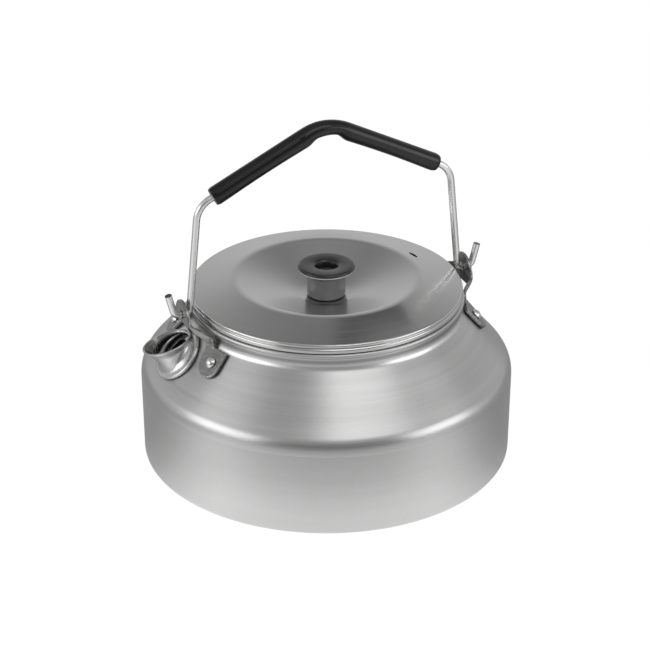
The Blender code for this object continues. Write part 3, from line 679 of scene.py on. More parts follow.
def revolve(name: str, profile: Sequence[Point2], steps: int) -> bpy.types.Object:
    """Turn a profile about Z into a closed skin.

    Args:
        name: Name of the object.
        profile: Points of radius and height, both ends on the axis.
        steps: Segments round the axis.

    Returns:
        The turned piece.
    """
    mesh = bmesh.new()
    rings = []
    for radius, z in profile:
        if radius < AXIS_LIMIT:
            rings.append([mesh.verts.new((0.0, 0.0, z))])
            continue
        angles = (TURN * k / steps for k in range(steps))
        rings.append([mesh.verts.new((radius * math.cos(a), radius * math.sin(a), z)) for a in angles])
    for first, second in zip(rings, rings[1:]):
        for j in range(steps):
            k = (j + 1) % steps
            corners = [first[j % len(first)], first[k % len(first)],
                       second[k % len(second)], second[j % len(second)]]
            corners = list(dict.fromkeys(corners))
            if len(corners) > 2:
                mesh.faces.new(corners)
    bmesh.ops.recalc_face_normals(mesh, faces=mesh.faces)
    return mesh_object(name, mesh)


def loft(name: str, rings: Sequence[Sequence[Vector]]) -> bpy.types.Object:
    """Closed skin through equal rings that also close on each other.

    Args:
        name: Name of the object.
        rings: Rings of points, in order, the last next to the first.

    Returns:
        The lofted piece.
    """
    mesh = bmesh.new()
    verts = [[mesh.verts.new(point) for point in ring] for ring in rings]
    width = len(verts[0])
    for i, upper in enumerate(verts):
        lower = verts[(i + 1) % len(verts)]
        for j in range(width):
            k = (j + 1) % width
            mesh.faces.new((upper[j], upper[k], lower[k], lower[j]))
    bmesh.ops.recalc_face_normals(mesh, faces=mesh.faces)
    return mesh_object(name, mesh)


def rounded_path(corners: Sequence[Vector], radii: Sequence[float], count: int) -> list[Vector]:
    """Points of a polyline with an arc at each inner corner.

    Args:
        corners: The corners, ends included.
        radii: A radius for each inner corner.
        count: Steps to an arc.

    Returns:
        The points.
    """
    path = [corners[0]]
    for i, radius in enumerate(radii, start=1):
        before = (corners[i - 1] - corners[i]).normalized()
        after = (corners[i + 1] - corners[i]).normalized()
        half = before.angle(after) / 2.0
        reach = radius / math.tan(half)
        centre = corners[i] + (before + after).normalized() * radius / math.sin(half)
        first = corners[i] + before * reach - centre
        last = corners[i] + after * reach - centre
        sweep = math.pi - 2.0 * half
        for k in range(count + 1):
            start = math.sin((1.0 - k / count) * sweep)
            end = math.sin(k / count * sweep)
            path.append(centre + (first * start + last * end) / math.sin(sweep))
    path.append(corners[-1])
    return path


def spread(path: Sequence[Vector], step: float) -> list[Vector]:
    """Points along a path no further apart than a step, its corners kept.

    Args:
        path: The path's points.
        step: Longest distance between points.

    Returns:
        The denser path.
    """
    points = [path[0]]
    for first, second in zip(path, path[1:]):
        count = max(1, math.ceil((second - first).length / step))
        points += [first.lerp(second, k / count) for k in range(1, count + 1)]
    return points


def ease(value: float) -> float:
    """Smooth step from 0 to 1."""
    value = min(1.0, max(0.0, value))
    return value * value * (3.0 - 2.0 * value)


def dress(item: bpy.types.Object, body: BodyName, material: bpy.types.Material, slot: str,
          *nodes: str) -> bpy.types.Object:
    """Give a finished piece its shading, material and body, and hide the CAD nodes that it stands for.

    Args:
        item: The piece.
        body: The body that it rides on.
        material: Its material.
        slot: Not used.
        nodes: CAD nodes that it replaces.

    Returns:
        The piece.
    """
    item.data.materials.clear()
    item.data.materials.append(material)
    item.data.shade_smooth()
    item.data.set_sharp_from_angle(angle=SMOOTH_ANGLE)
    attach(item, body.value)
    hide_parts(*nodes)
    LOG.info("%s rides on %s", item.name, body.value)
    return item


class NodeRecipe:
    """A geometry node tree with named inputs, run once and turned into a plain mesh."""

    def __init__(self, name: str, inputs: Mapping[str, tuple[str, Any]]) -> None:
        """Start the tree.

        Args:
            name: Name of the tree.
            inputs: Socket type and value of each named input.
        """
        self.tree = bpy.data.node_groups.new(name, "GeometryNodeTree")
        self.values: dict[str, Any] = {}
        panel = self.tree.interface
        panel.new_socket("Geometry", in_out="INPUT", socket_type="NodeSocketGeometry")
        for label, (kind, value) in inputs.items():
            socket = panel.new_socket(label, in_out="INPUT", socket_type=kind)
            self.values[socket.identifier] = value
        panel.new_socket("Geometry", in_out="OUTPUT", socket_type="NodeSocketGeometry")
        self.source = self.tree.nodes.new("NodeGroupInput")
        self.sink = self.tree.nodes.new("NodeGroupOutput")

    def node(self, kind: str, settings: Mapping[str, Any] | None = None,
             values: Mapping[Any, Any] | None = None) -> bpy.types.Node:
        """Add one node.

        Args:
            kind: The node's type.
            settings: Its properties.
            values: Its sockets with numbers or output sockets.

        Returns:
            The new node.
        """
        node = self.tree.nodes.new(kind)
        for key, value in (settings or {}).items():
            setattr(node, key, value)
        for key, value in (values or {}).items():
            if isinstance(value, bpy.types.NodeSocket):
                self.tree.links.new(value, node.inputs[key])
            else:
                node.inputs[key].default_value = value
        return node

    def run(self, item: bpy.types.Object, geometry: bpy.types.NodeSocket) -> bpy.types.Object:
        """Close the tree, run it on an object and keep the plain mesh.

        Args:
            item: The object that carries the modifier, which is replaced.
            geometry: The tree's last geometry.

        Returns:
            A mesh object of the same name.
        """
        real = self.node("GeometryNodeRealizeInstances", values={"Geometry": geometry})
        dressed = self.node("GeometryNodeSetMaterial",
                            values={"Geometry": real.outputs[0],
                                    "Material": self.source.outputs["Material"]})
        self.tree.links.new(dressed.outputs[0], self.sink.inputs[0])
        change = item.modifiers.new("recipe", "NODES")
        change.node_group = self.tree
        for identifier, value in self.values.items():
            change[identifier] = value
        graph = bpy.context.evaluated_depsgraph_get()
        data = bpy.data.meshes.new_from_object(item.evaluated_get(graph))
        name = item.name
        item.modifiers.clear()
        bpy.data.objects.remove(item)
        data.name = name
        made = bpy.data.objects.new(name, data)
        bpy.context.scene.collection.objects.link(made)
        return made


# The kettle's pieces


@dataclass(frozen=True)
class Fits:
    """Clearances shared by the pieces."""

    join: float = 0.3 * MM
    pin: float = 0.5 * MM
    plug: float = 0.4 * MM


@dataclass(frozen=True)
class Shell:
    """The spun body, whose shoulder the spout, ears and rivets stand on."""

    radius: float = 75.0 * MM
    sheet: float = 1.0 * MM
    wall_top: float = 35.2 * MM
    taper: float = 0.3 * MM
    base_corner: float = 3.2 * MM
    shoulder_bend: float = 9.7 * MM
    slope: float = math.radians(48.0)
    neck: float = 54.2 * MM
    neck_root: float = 4.6 * MM
    crease_depth: float = 0.03 * MM
    # Millimetres below the wall's top, and share of the crease's depth.
    crease: tuple[Point2, ...] = ((0.045, 0.0), (0.18, 1.0), (0.27, 1.0), (0.45, 0.0))
    rim_top: float = 67.9 * MM
    steps: int = 240
    root_steps: int = 16
    bend_steps: int = 24
    corner_steps: int = 10
    bead_steps: int = 18
    fits: Fits = Fits()

    @property
    def run(self) -> float:
        """Level share of a step along the slope."""
        return math.cos(self.slope)

    @property
    def rise(self) -> float:
        """Upright share of a step along the slope."""
        return math.sin(self.slope)

    @property
    def root_z(self) -> float:
        """Height at which the cone would meet the neck.

        Returns:
            The height, from the shoulder bend and the slope.
        """
        foot_radius = self.radius - self.shoulder_bend * (1.0 - self.rise)
        foot_z = self.wall_top + self.shoulder_bend * self.run
        return foot_z + (foot_radius - self.neck) * self.rise / self.run

    def cone_z(self, radius: float) -> float:
        """Height of the shoulder cone at a radius."""
        return self.root_z - (radius - self.neck) * self.rise / self.run

    def normal(self, azimuth: float, side: Side) -> Vector:
        """Outward direction of the shoulder.

        Args:
            azimuth: Angle from the hinge line.
            side: End of the hinge line.

        Returns:
            The unit normal.
        """
        return Vector((side.value * self.rise * math.cos(azimuth), self.rise * math.sin(azimuth), self.run))

    def spot(self, radius: float, azimuth: float, side: Side) -> Vector:
        """Point on the shoulder cone.

        Args:
            radius: Distance from the axis.
            azimuth: Angle from the hinge line.
            side: End of the hinge line.

        Returns:
            The point.
        """
        return Vector((side.value * radius * math.cos(azimuth), radius * math.sin(azimuth),
                       self.cone_z(radius)))

    def skin(self, inset: float) -> list[Point2]:
        """Profile from the neck down to the base.

        Args:
            inset: Distance in from the outer skin, which alone has the crease below the bend.

        Returns:
            Points of radius and height.
        """
        half = (math.pi / 2.0 - self.slope) / 2.0
        lean = 90.0 - math.degrees(self.slope)
        root = (self.neck + self.neck_root, self.root_z + self.neck_root * math.tan(half))
        corner = (self.radius - self.taper - self.base_corner, self.base_corner)
        bend = (self.radius - self.shoulder_bend, self.wall_top)
        points = arc(root, self.neck_root + inset, 180.0, 180.0 + lean, self.root_steps)
        points += arc(bend, self.shoulder_bend - inset, lean, 0.0, self.bend_steps)
        if inset == 0.0:
            points += [(self.radius - share * self.crease_depth, self.wall_top - fall * MM)
                       for fall, share in self.crease]
        points += arc(corner, self.base_corner - inset, 0.0, -90.0, self.corner_steps)
        return points

    def build(self, finish: SpunMetal, rivets: Sequence[tuple[float, Side]], rivet_ring: float,
              rivet_hole: float, spout_foot: float, spout_hole: float) -> bpy.types.Object:
        """Turn the body and pierce it.

        Args:
            finish: Its metal.
            rivets: Azimuth and side of each rivet.
            rivet_ring: Radius of the ring that the rivets stand on.
            rivet_hole: Radius of a rivet's hole.
            spout_foot: Distance of the spout's foot from the axis.
            spout_hole: Radius of the hole for the spout.

        Returns:
            The dressed body.
        """
        bead = arc((self.neck, self.rim_top - self.sheet), self.sheet, 180.0, -90.0, self.bead_steps)
        profile = [(0.0, self.sheet)] + self.skin(self.sheet)[::-1] + bead + self.skin(0.0) + [(0.0, 0.0)]
        body = revolve("kettle_shell", profile, self.steps)
        reach = 4.0 * self.sheet
        holes = [(spout_foot, 0.0, Side.SPOUT, spout_hole)]
        holes += [(rivet_ring, azimuth, side, rivet_hole) for azimuth, side in rivets]
        for ring, azimuth, side, radius in holes:
            middle = self.spot(ring, azimuth, side)
            out = self.normal(azimuth, side) * reach
            combine(body, cylinder("hole", radius, middle - out, middle + out), Change.CUT)
        placed = replace(finish, wall_top=self.wall_top, rim=self.rim_top)
        return dress(body, BodyName.KETTLE, placed.material(), "body_shell", "kettle_body")


@dataclass(frozen=True)
class Spout:
    """Short trumpet spout, folded foot flange outside and turned lip inside."""

    shell: Shell
    foot: float = 62.1 * MM
    sheet: float = 0.7 * MM
    flange: Point2 = (23.4 * MM, 24.8 * MM)
    fold_angles: tuple[float, ...] = (80.0, 50.0, 20.0, -20.0, -50.0, -80.0)
    ledge: float = 1.1 * MM
    offset: float = 0.8 * MM
    waist: float = 7.1 * MM
    # Shares of the waist nearer the foot and nearer the mouth.
    waist_length: Point2 = (1.1, 1.05)
    waist_width: Point2 = (1.0, 0.92)
    climb: float = 0.55
    collar: float = 8.6 * MM
    turned_lip: float = 1.3 * MM
    mouth: Point2 = (17.0 * MM, 15.6 * MM)
    mouth_shift: float = 0.4 * MM
    mouth_rise: float = 7.7 * MM
    mouth_tilt: float = math.radians(33.0)
    lip_bead: float = 0.35 * MM
    throat: float = 5.2 * MM
    lip_angles: range = range(200, -71, -30)
    segments: int = 112
    wall_steps: int = 17
    seat_rounds: int = 8

    @property
    def hole(self) -> float:
        """Radius of the hole in the shell."""
        return self.collar + self.shell.fits.join

    def lift(self, up: float, across: float, offset: float) -> float:
        """Height along the spout's axis at which the shoulder is met.

        Args:
            up: Distance up the slope from the foot point.
            across: Sideways distance.
            offset: Distance of the wanted surface above the shoulder.

        Returns:
            The height along the axis.
        """
        out = self.shell.normal(0.0, Side.SPOUT)
        spot = self._spot(up, across)
        lift = 0.0
        for _ in range(self.seat_rounds):
            here = spot + out * lift
            radius = math.hypot(here.x, here.y)
            lift -= (here.z - self.shell.cone_z(radius)) * self.shell.run - offset
        return lift

    def _spot(self, up: float, across: float) -> Vector:
        """Point in the plane that touches the shoulder at the spout's foot."""
        uphill = Vector((self.shell.run, 0.0, self.shell.rise))
        return self.shell.spot(self.foot, 0.0, Side.SPOUT) + uphill * up + Vector((0.0, across, 0.0))

    def ring(self, length: float, width: float, shift: float, height: Height) -> list[Vector]:
        """One ring of the loft.

        Args:
            length: Size up the slope.
            width: Size across.
            shift: Distance of its middle up the slope.
            height: Height along the axis at a place.

        Returns:
            The ring's points.
        """
        out = self.shell.normal(0.0, Side.SPOUT)
        points = []
        for k in range(self.segments):
            angle = TURN * k / self.segments
            up = shift + length / 2.0 * math.cos(angle)
            across = width / 2.0 * math.sin(angle)
            points.append(self._spot(up, across) + out * height(up, across))
        return points

    def mouth_height(self, up: float, _across: float) -> float:
        """Height of the mouth's plane along the axis."""
        return self.mouth_rise - up * math.tan(self.mouth_tilt)

    def wall(self, inset: float, base: float, part: float) -> list[Vector]:
        """A ring of the trumpet between its foot and its mouth.

        Args:
            inset: Distance in from the outer skin.
            base: Height of the foot above the shoulder.
            part: 0 at the foot and 1 at the mouth.

        Returns:
            The ring's points.
        """
        rest = 1.0 - part
        weights = (rest ** 3, 3 * part * rest ** 2, 3 * part ** 2 * rest, part ** 3)
        girth = 2.0 * self.waist
        lengths, widths = ((size - 2.0 * self.ledge, girth * low, girth * high, opening)
                           for size, (low, high), opening in
                           zip(self.flange, (self.waist_length, self.waist_width), self.mouth))
        length = sum(w * v for w, v in zip(weights, lengths)) - 2.0 * inset
        width = sum(w * v for w, v in zip(weights, widths)) - 2.0 * inset
        climb = weights[2] * self.climb + weights[3]

        def height(up: float, across: float) -> float:
            """Height part of the way from the foot to the mouth."""
            low = self.lift(up, across, base)
            return low + (self.mouth_height(up, across) - low) * climb

        return self.ring(length, width, self.mouth_shift * weights[3] - self.offset * weights[0], height)

    def seat(self, offset: float) -> Height:
        """Height function of a surface parallel to the shoulder."""
        return lambda up, across: self.lift(up, across, offset)

    def build(self, finish: PressedMetal) -> bpy.types.Object:
        """Loft the spout.

        Args:
            finish: Its metal.

        Returns:
            The dressed spout.
        """
        join = self.shell.fits.join
        fold = 2.0 * self.sheet
        inner = -(self.shell.sheet + join)
        collar = 2.0 * self.collar
        bore = 2.0 * self.throat
        lip = collar + 2.0 * self.turned_lip
        steps = [k / self.wall_steps for k in range(1, self.wall_steps)]
        rings = [self.wall(0.0, join + fold, 0.0)]
        for angle in self.fold_angles:
            turn = math.radians(angle)
            reach = 2.0 * self.sheet * (1.0 - math.cos(turn))
            height = self.seat(join + self.sheet * (1.0 + math.sin(turn)))
            rings.append(self.ring(self.flange[0] - reach, self.flange[1] - reach, -self.offset, height))
        for size, level in ((collar, join), (collar, inner), (lip, inner), (lip, inner - self.sheet),
                            (bore, inner - self.sheet), (bore, join + self.sheet)):
            rings.append(self.ring(size, size, 0.0, self.seat(level)))
        rings += [self.wall(self.sheet, join + self.sheet, part) for part in [0.0] + steps]
        for angle in self.lip_angles:
            turn = math.radians(angle)
            inset = 2.0 * self.lip_bead * (1.0 - math.cos(turn))
            raised = self.lip_bead * math.sin(turn)
            rings.append(self.ring(self.mouth[0] - inset, self.mouth[1] - inset, self.mouth_shift,
                                   lambda up, across, lift=raised: self.mouth_height(up, across) + lift))
        rings += [self.wall(0.0, join + fold, part) for part in steps[::-1]]
        return dress(loft("pouring_spout", rings), BodyName.KETTLE, finish.material(), "spout_shell", "spout")


@dataclass(frozen=True)
class Ear:
    """Pressed ear: a round lug that flares out from a band round the neck, with a tongue foot at each end."""

    shell: Shell
    bail: Bail
    plane: float = 60.4 * MM
    sheet: float = 1.2 * MM
    tab_radius: float = 8.2 * MM
    tab_top: float = 75.2 * MM
    tab_angle: float = math.radians(75.0)
    tab_fillet: float = 1.8 * MM
    flat_half: float = 7.5 * MM
    bow_length: float = 6.8 * MM
    half_length: float = 16.9 * MM
    strap_top: float = 67.6 * MM
    fall_length: float = 3.8 * MM
    band_top: float = 65.1 * MM
    end_rounding: float = 2.6 * MM
    flare_z: float = 61.0 * MM
    flare_height: float = 7.0 * MM
    arch_z: float = 64.4 * MM
    arch_half: float = 9.4 * MM
    arch_side: float = 4.2 * MM
    neck_space: float = 0.9 * MM
    foot_width: float = 9.8 * MM
    foot_drop: float = 12.2 * MM
    foot_lean: float = 2.2 * MM
    foot_sink: float = 0.7
    foot_steps: int = 28
    rivet_azimuth: float = math.radians(20.362)
    rivet_ring: float = 59.2 * MM
    rivet_shank: float = 1.6 * MM
    rivet_sides: int = 32
    pin_sides: int = 40
    columns: int = 96
    levels: int = 20
    grain: float = 0.22 * MM
    soften_share: float = 0.5
    soften_rounds: int = 6

    @property
    def end_radius(self) -> float:
        """Radius of the band beside the neck."""
        return self.shell.neck + self.shell.sheet + self.neck_space

    @property
    def rivet_hole(self) -> float:
        """Radius of a rivet's hole."""
        return self.rivet_shank + self.shell.fits.join

    @property
    def pin_hole(self) -> float:
        """Radius of the hole that the wire turns in."""
        return self.bail.wire + self.shell.fits.pin

    def reach(self, y: float, z: float) -> float:
        """Distance of the sheet from the kettle's middle plane.

        Args:
            y: Distance from the middle of the ear, with its sign.
            z: Height.

        Returns:
            The distance along the hinge line.
        """
        band = math.sqrt(self.end_radius ** 2 - y ** 2)
        bow = 1.0 - ease((abs(y) - self.flat_half) / self.bow_length)
        share = min(1.0, max(0.0, (z - self.flare_z) / self.flare_height))
        return band + (self.plane - band) * bow * math.sin(math.pi / 2.0 * share)

    def heights(self, y: float) -> tuple[float, float]:
        """Lower and upper edge of the sheet.

        Args:
            y: Distance from the middle of the ear, with its sign.

        Returns:
            The two heights.
        """
        away = abs(y)
        centre = self.tab_top - self.tab_radius
        edge = self.tab_radius * math.sin(self.tab_angle)
        if away <= edge:
            top = centre + math.sqrt(self.tab_radius ** 2 - away ** 2)
        else:
            blend = min(1.0, (away - edge) / self.tab_fillet)
            edge_z = centre + self.tab_radius * math.cos(self.tab_angle)
            top = self.strap_top + (edge_z - self.strap_top) * (1.0 - blend) ** 2
        top -= (self.strap_top - self.band_top) * ease((away - edge - self.tab_fillet) / self.fall_length)
        rounding = max(0.0, 1.0 - (self.half_length - away) / self.end_rounding)
        top -= self.end_rounding * (1.0 - math.sqrt(1.0 - rounding ** 2))
        seat = (self.shell.fits.join + self.sheet / 2.0) / self.shell.run
        foot_z = self.shell.cone_z(self.end_radius) + seat
        drop = ease((away - self.arch_half) / self.arch_side)
        return self.arch_z - (self.arch_z - foot_z) * drop, top

    def band(self, side: Side) -> bpy.types.Object:
        """The lug and its band as one sheet with its thickness.

        Args:
            side: End of the hinge line.

        Returns:
            The band.
        """
        mesh = bmesh.new()
        rows = []
        for level in range(self.levels + 1):
            row = []
            for column in range(self.columns + 1):
                y = self.half_length * (2.0 * column / self.columns - 1.0)
                low, high = self.heights(y)
                z = low + (high - low) * level / self.levels
                row.append(mesh.verts.new((side.value * self.reach(y, z), y, z)))
            rows.append(row)
        for lower, upper in zip(rows, rows[1:]):
            for j in range(self.columns):
                mesh.faces.new((lower[j], lower[j + 1], upper[j + 1], upper[j]))
        item = mesh_object("ear_band", mesh)
        skin = item.modifiers.new("sheet", "SOLIDIFY")
        skin.thickness = self.sheet
        skin.offset = 0.0
        skin.use_even_offset = True
        return applied(item)

    def foot(self, azimuth: float, side: Side) -> bpy.types.Object:
        """A tongue that lies on the shoulder, rounded down the slope.

        Args:
            azimuth: Angle of its rivet from the hinge line.
            side: End of the hinge line.

        Returns:
            The tongue.
        """
        top_radius = self.end_radius - self.sheet * self.foot_sink
        length = (self.rivet_ring - top_radius) / self.shell.run
        rounding = self.foot_width / 2.0
        straight = self.foot_drop - length - rounding
        outline = [(-length, rounding), (-length, -rounding)]
        outline += [(straight + rounding * math.sin(a), -rounding * math.cos(a))
                    for a in (math.pi * k / self.foot_steps for k in range(self.foot_steps + 1))]
        spot = self.shell.spot(self.rivet_ring, azimuth, side)
        out = self.shell.normal(azimuth, side)
        across = Vector((-side.value * math.sin(azimuth), math.cos(azimuth), 0.0))
        down = across.cross(out)
        if down.z > 0.0:
            down = -down
        inward = math.copysign(self.foot_lean, azimuth)
        mesh = bmesh.new()
        low = []
        for run, offset in outline:
            lean = -inward * (0.5 - run / length / 2.0) if offset * inward < 0.0 else 0.0
            low.append(mesh.verts.new(spot + down * run + across * (offset + lean)
                                      + out * self.shell.fits.join))
        raised = bmesh.ops.extrude_face_region(mesh, geom=[mesh.faces.new(low)])
        tops = [part for part in raised["geom"] if isinstance(part, bmesh.types.BMVert)]
        bmesh.ops.translate(mesh, verts=tops, vec=out * self.sheet)
        bmesh.ops.recalc_face_normals(mesh, faces=mesh.faces)
        return mesh_object("ear_foot", mesh)

    def build(self, name: str, side: Side, material: bpy.types.Material, node: str) -> bpy.types.Object:
        """Make one ear, its edges softened as pressing leaves them.

        Args:
            name: Name of the piece.
            side: End of the hinge line.
            material: Its metal.
            node: The CAD node that it replaces.

        Returns:
            The dressed ear.
        """
        ear = self.band(side)
        ear.name = name
        for azimuth in (-self.rivet_azimuth, self.rivet_azimuth):
            combine(ear, self.foot(azimuth, side), Change.JOIN)
        grid = ear.modifiers.new("grid", "REMESH")
        grid.mode = "VOXEL"
        grid.voxel_size = self.grain
        soften = ear.modifiers.new("soften", "SMOOTH")
        soften.factor = self.soften_share
        soften.iterations = self.soften_rounds
        applied(ear)
        reach = 4.0 * self.sheet
        for azimuth in (-self.rivet_azimuth, self.rivet_azimuth):
            spot = self.shell.spot(self.rivet_ring, azimuth, side)
            out = self.shell.normal(azimuth, side) * reach
            hole = cylinder("hole", self.rivet_hole, spot - out, spot + out, self.rivet_sides)
            combine(ear, hole, Change.CUT)
        ends = [Vector((side.value * (self.plane + step), 0.0, self.bail.hinge_z))
                for step in (-reach, reach)]
        combine(ear, cylinder("hole", self.pin_hole, *ends, self.pin_sides), Change.CUT)
        return dress(ear, BodyName.KETTLE, material, "pressed_ear", node)


@dataclass(frozen=True)
class Rivets:
    """Domed rivets through the ears' feet, one turned form repeated by a node tree."""

    shell: Shell
    ear: Ear
    head: Point2 = (2.3 * MM, 1.5 * MM)
    tail: Point2 = (2.3 * MM, 0.9 * MM)
    # Millimetres inward and up from the foot of the head.
    head_edge: tuple[Point2, ...] = ((0.05, 0.12), (0.12, 0.0))
    # Shares of the tail's radius and depth.
    tail_edge: tuple[Point2, ...] = ((1.0, 0.0), (1.0, 0.5), (0.9, 0.85), (0.7, 1.0), (0.0, 1.0))
    dome_steps: int = 10
    segments: int = 40

    def places(self) -> list[tuple[float, Side]]:
        """Azimuth and side of each rivet."""
        return [(sign * self.ear.rivet_azimuth, side) for side in Side for sign in (-1.0, 1.0)]

    def form(self) -> bpy.types.Object:
        """One rivet standing on the origin along Z.

        Returns:
            The rivet, its shoulder skin at height 0.
        """
        join = self.shell.fits.join
        seat = 2.0 * join + self.ear.sheet
        radius, rise = self.head
        sphere = (radius ** 2 + rise ** 2) / (2.0 * rise)
        rim = math.degrees(math.asin(radius / sphere))
        dome = arc((0.0, seat + rise - sphere), sphere, 90.0, 90.0 - rim, self.dome_steps)
        dome[0] = (0.0, dome[0][1])
        under = -(self.shell.sheet + join)
        wide, deep = self.tail
        profile = dome[:-1] + [(radius - inward * MM, seat + up * MM) for inward, up in self.head_edge]
        profile += [(self.ear.rivet_shank, seat), (self.ear.rivet_shank, under)]
        profile += [(wide * share, under - deep * fall) for share, fall in self.tail_edge]
        return revolve("rivet_form", profile, self.segments)

    def build(self, finish: PressedMetal) -> bpy.types.Object:
        """Set a rivet at each place.

        Args:
            finish: Their metal.

        Returns:
            The dressed rivets, one mesh.
        """
        form = self.form()
        mesh = bmesh.new()
        facing = mesh.verts.layers.float_vector.new("facing")
        for azimuth, side in self.places():
            point = mesh.verts.new(self.shell.spot(self.ear.rivet_ring, azimuth, side))
            point[facing] = self.shell.normal(azimuth, side)
        seeds = mesh_object("ear_rivets", mesh)
        material = finish.material()
        recipe = NodeRecipe("rivet_setting", {"Form": ("NodeSocketObject", form),
                                              "Material": ("NodeSocketMaterial", material)})
        shape = recipe.node("GeometryNodeObjectInfo", values={"Object": recipe.source.outputs["Form"]})
        toward = recipe.node("GeometryNodeInputNamedAttribute", {"data_type": "FLOAT_VECTOR"},
                             {"Name": "facing"})
        turn = recipe.node("FunctionNodeAlignRotationToVector", {"axis": "Z"},
                           {"Vector": toward.outputs["Attribute"]})
        set_out = recipe.node("GeometryNodeInstanceOnPoints",
                              values={"Points": recipe.source.outputs["Geometry"],
                                      "Instance": shape.outputs["Geometry"],
                                      "Rotation": turn.outputs["Rotation"]})
        rivets = recipe.run(seeds, set_out.outputs[0])
        bpy.data.objects.remove(form)
        nodes = [f"{ear}_{place}_rivet" for ear in ("spout_side", "far_side") for place in ("front", "back")]
        return dress(rivets, BodyName.KETTLE, material, "rivet", *nodes)


@dataclass(frozen=True)
class Bail:
    """Bent wire bail with hooked ends and a slit sleeve grip."""

    hinge_z: float = 69.5 * MM
    wire: float = 1.43 * MM
    leg_foot: float = 57.67 * MM
    leg_lean: float = 0.1
    hook_offset: float = 6.2 * MM
    hook_length: float = 9.3 * MM
    hook_lean: float = 0.26
    hook_bend: float = 2.5 * MM
    tip_bevel: float = 0.3 * MM
    tip_share: float = 0.78
    peak_z: float = 137.9 * MM
    peak_bend: float = 19.0 * MM
    peak_slope: float = math.radians(26.3)
    corner_bend: float = 10.0 * MM
    grip_reach: float = 47.02 * MM
    grip_spout_half: float = 3.8 * MM
    grip_far_half: float = 3.6 * MM
    grip_peak_cut: float = 1.5 * MM
    grip_peak_half: float = 4.0 * MM
    grip_peak_fade: float = 6.0 * MM
    grip_waist: float = 0.4 * MM
    grip_waist_start: float = 8.0 * MM
    grip_waist_length: float = 36.0 * MM
    grip_end_cut: float = 0.5 * MM
    grip_chamfer: float = 0.35 * MM
    slit_depth: float = 0.6 * MM
    slit_start: float = 9.0 * MM
    slit_fade: float = 1.5 * MM
    slit_angle: float = 54.0
    slit_half: float = 3.4
    slit_lip: float = 0.9
    slit_clear: float = 1.5
    grip_turn: int = 6
    wire_steps: int = 14
    wire_pitch: float = 4.0 * MM
    wire_sides: int = 24
    grip_steps: int = 16
    grip_pitch: float = 0.9 * MM
    fits: Fits = Fits()

    @property
    def tip(self) -> float:
        """Place of the wire's sawn ends.

        Returns:
            Their distance from the origin, measured along the hook.
        """
        across = (self.leg_foot + self.hook_offset) * self.hook_lean
        return (across + self.hinge_z) / math.hypot(1.0, self.hook_lean) + self.hook_length

    def path(self, count: int) -> list[Vector]:
        """Centre line of the wire from hook to hook.

        Args:
            count: Steps to each bend.

        Returns:
            The points.
        """
        foot = self.leg_foot
        peak = self.peak_z + self.peak_bend * (1.0 / math.cos(self.peak_slope) - 1.0)
        fall = math.tan(self.peak_slope)
        rise = (peak - self.hinge_z - fall * foot) / (1.0 - fall * self.leg_lean)
        corner = Vector((foot - self.leg_lean * rise, 0.0, self.hinge_z + rise))
        hook = Vector((foot + self.hook_offset, 0.0, self.hinge_z))
        tip = hook + Vector((self.hook_lean, 0.0, 1.0)).normalized() * self.hook_length
        half = [tip, hook, Vector((foot, 0.0, self.hinge_z)), corner]
        corners = [Vector((-p.x, 0.0, p.z)) for p in half] + [Vector((0.0, 0.0, peak))] + half[::-1]
        radii = [self.hook_bend, self.hook_bend, self.corner_bend]
        return rounded_path(corners, radii + [self.peak_bend] + radii[::-1], count)

    def build_wire(self, finish: WireSteel) -> bpy.types.Object:
        """Sweep the wire along its path.

        Args:
            finish: Its metal.

        Returns:
            The dressed wire.
        """
        points = spread(self.path(self.wire_steps), self.wire_pitch)
        first, last = points[0], points[-1]
        start = first.lerp(points[1], self.tip_bevel / (points[1] - first).length)
        end = last.lerp(points[-2], self.tip_bevel / (points[-2] - last).length)
        points = [first, start] + points[1:-1] + [end, last]
        curve = bpy.data.curves.new("bail_line", "CURVE")
        curve.dimensions = "3D"
        spline = curve.splines.new("POLY")
        spline.points.add(len(points) - 1)
        for i, (target, place) in enumerate(zip(spline.points, points)):
            target.co = (*place, 1.0)
            target.radius = self.tip_share if i in (0, len(points) - 1) else 1.0
        item = bpy.data.objects.new("bail_bent_wire", curve)
        bpy.context.scene.collection.objects.link(item)
        material = replace(finish, foot=self.leg_foot, hook_lean=self.hook_lean, tip=self.tip).material()
        recipe = NodeRecipe("wire_sweep", {"Wire Radius": ("NodeSocketFloat", self.wire),
                                           "Sides": ("NodeSocketInt", self.wire_sides),
                                           "Material": ("NodeSocketMaterial", material)})
        section = recipe.node("GeometryNodeCurvePrimitiveCircle", {"mode": "RADIUS"},
                              {"Resolution": recipe.source.outputs["Sides"],
                               "Radius": recipe.source.outputs["Wire Radius"]})
        sweep = recipe.node("GeometryNodeCurveToMesh", values={"Curve": recipe.source.outputs["Geometry"],
                                                              "Profile Curve": section.outputs[0],
                                                              "Fill Caps": True})
        wire = recipe.run(item, sweep.outputs[0])
        return dress(wire, BodyName.BAIL, material, "bail_steel", "bail_wire")

    def grip_size(self, x: float, facing: float) -> float:
        """Distance from the wire's centre to the grip's skin.

        Args:
            x: Place along the grip.
            facing: 1 on top and -1 underneath.

        Returns:
            The distance.
        """
        away = abs(x)
        half = ease((x + self.grip_peak_half) / (2.0 * self.grip_peak_half))
        radius = self.grip_spout_half + (self.grip_far_half - self.grip_spout_half) * half
        step = ease((away - self.grip_peak_half) / self.grip_peak_fade)
        share = min(1.0, max(0.0, (away - self.grip_waist_start) / self.grip_waist_length))
        cut = self.grip_peak_cut * (1.0 - step) + self.grip_waist * math.sin(math.pi * share)
        return radius - cut * ((1.0 - facing) / 2.0) ** 2

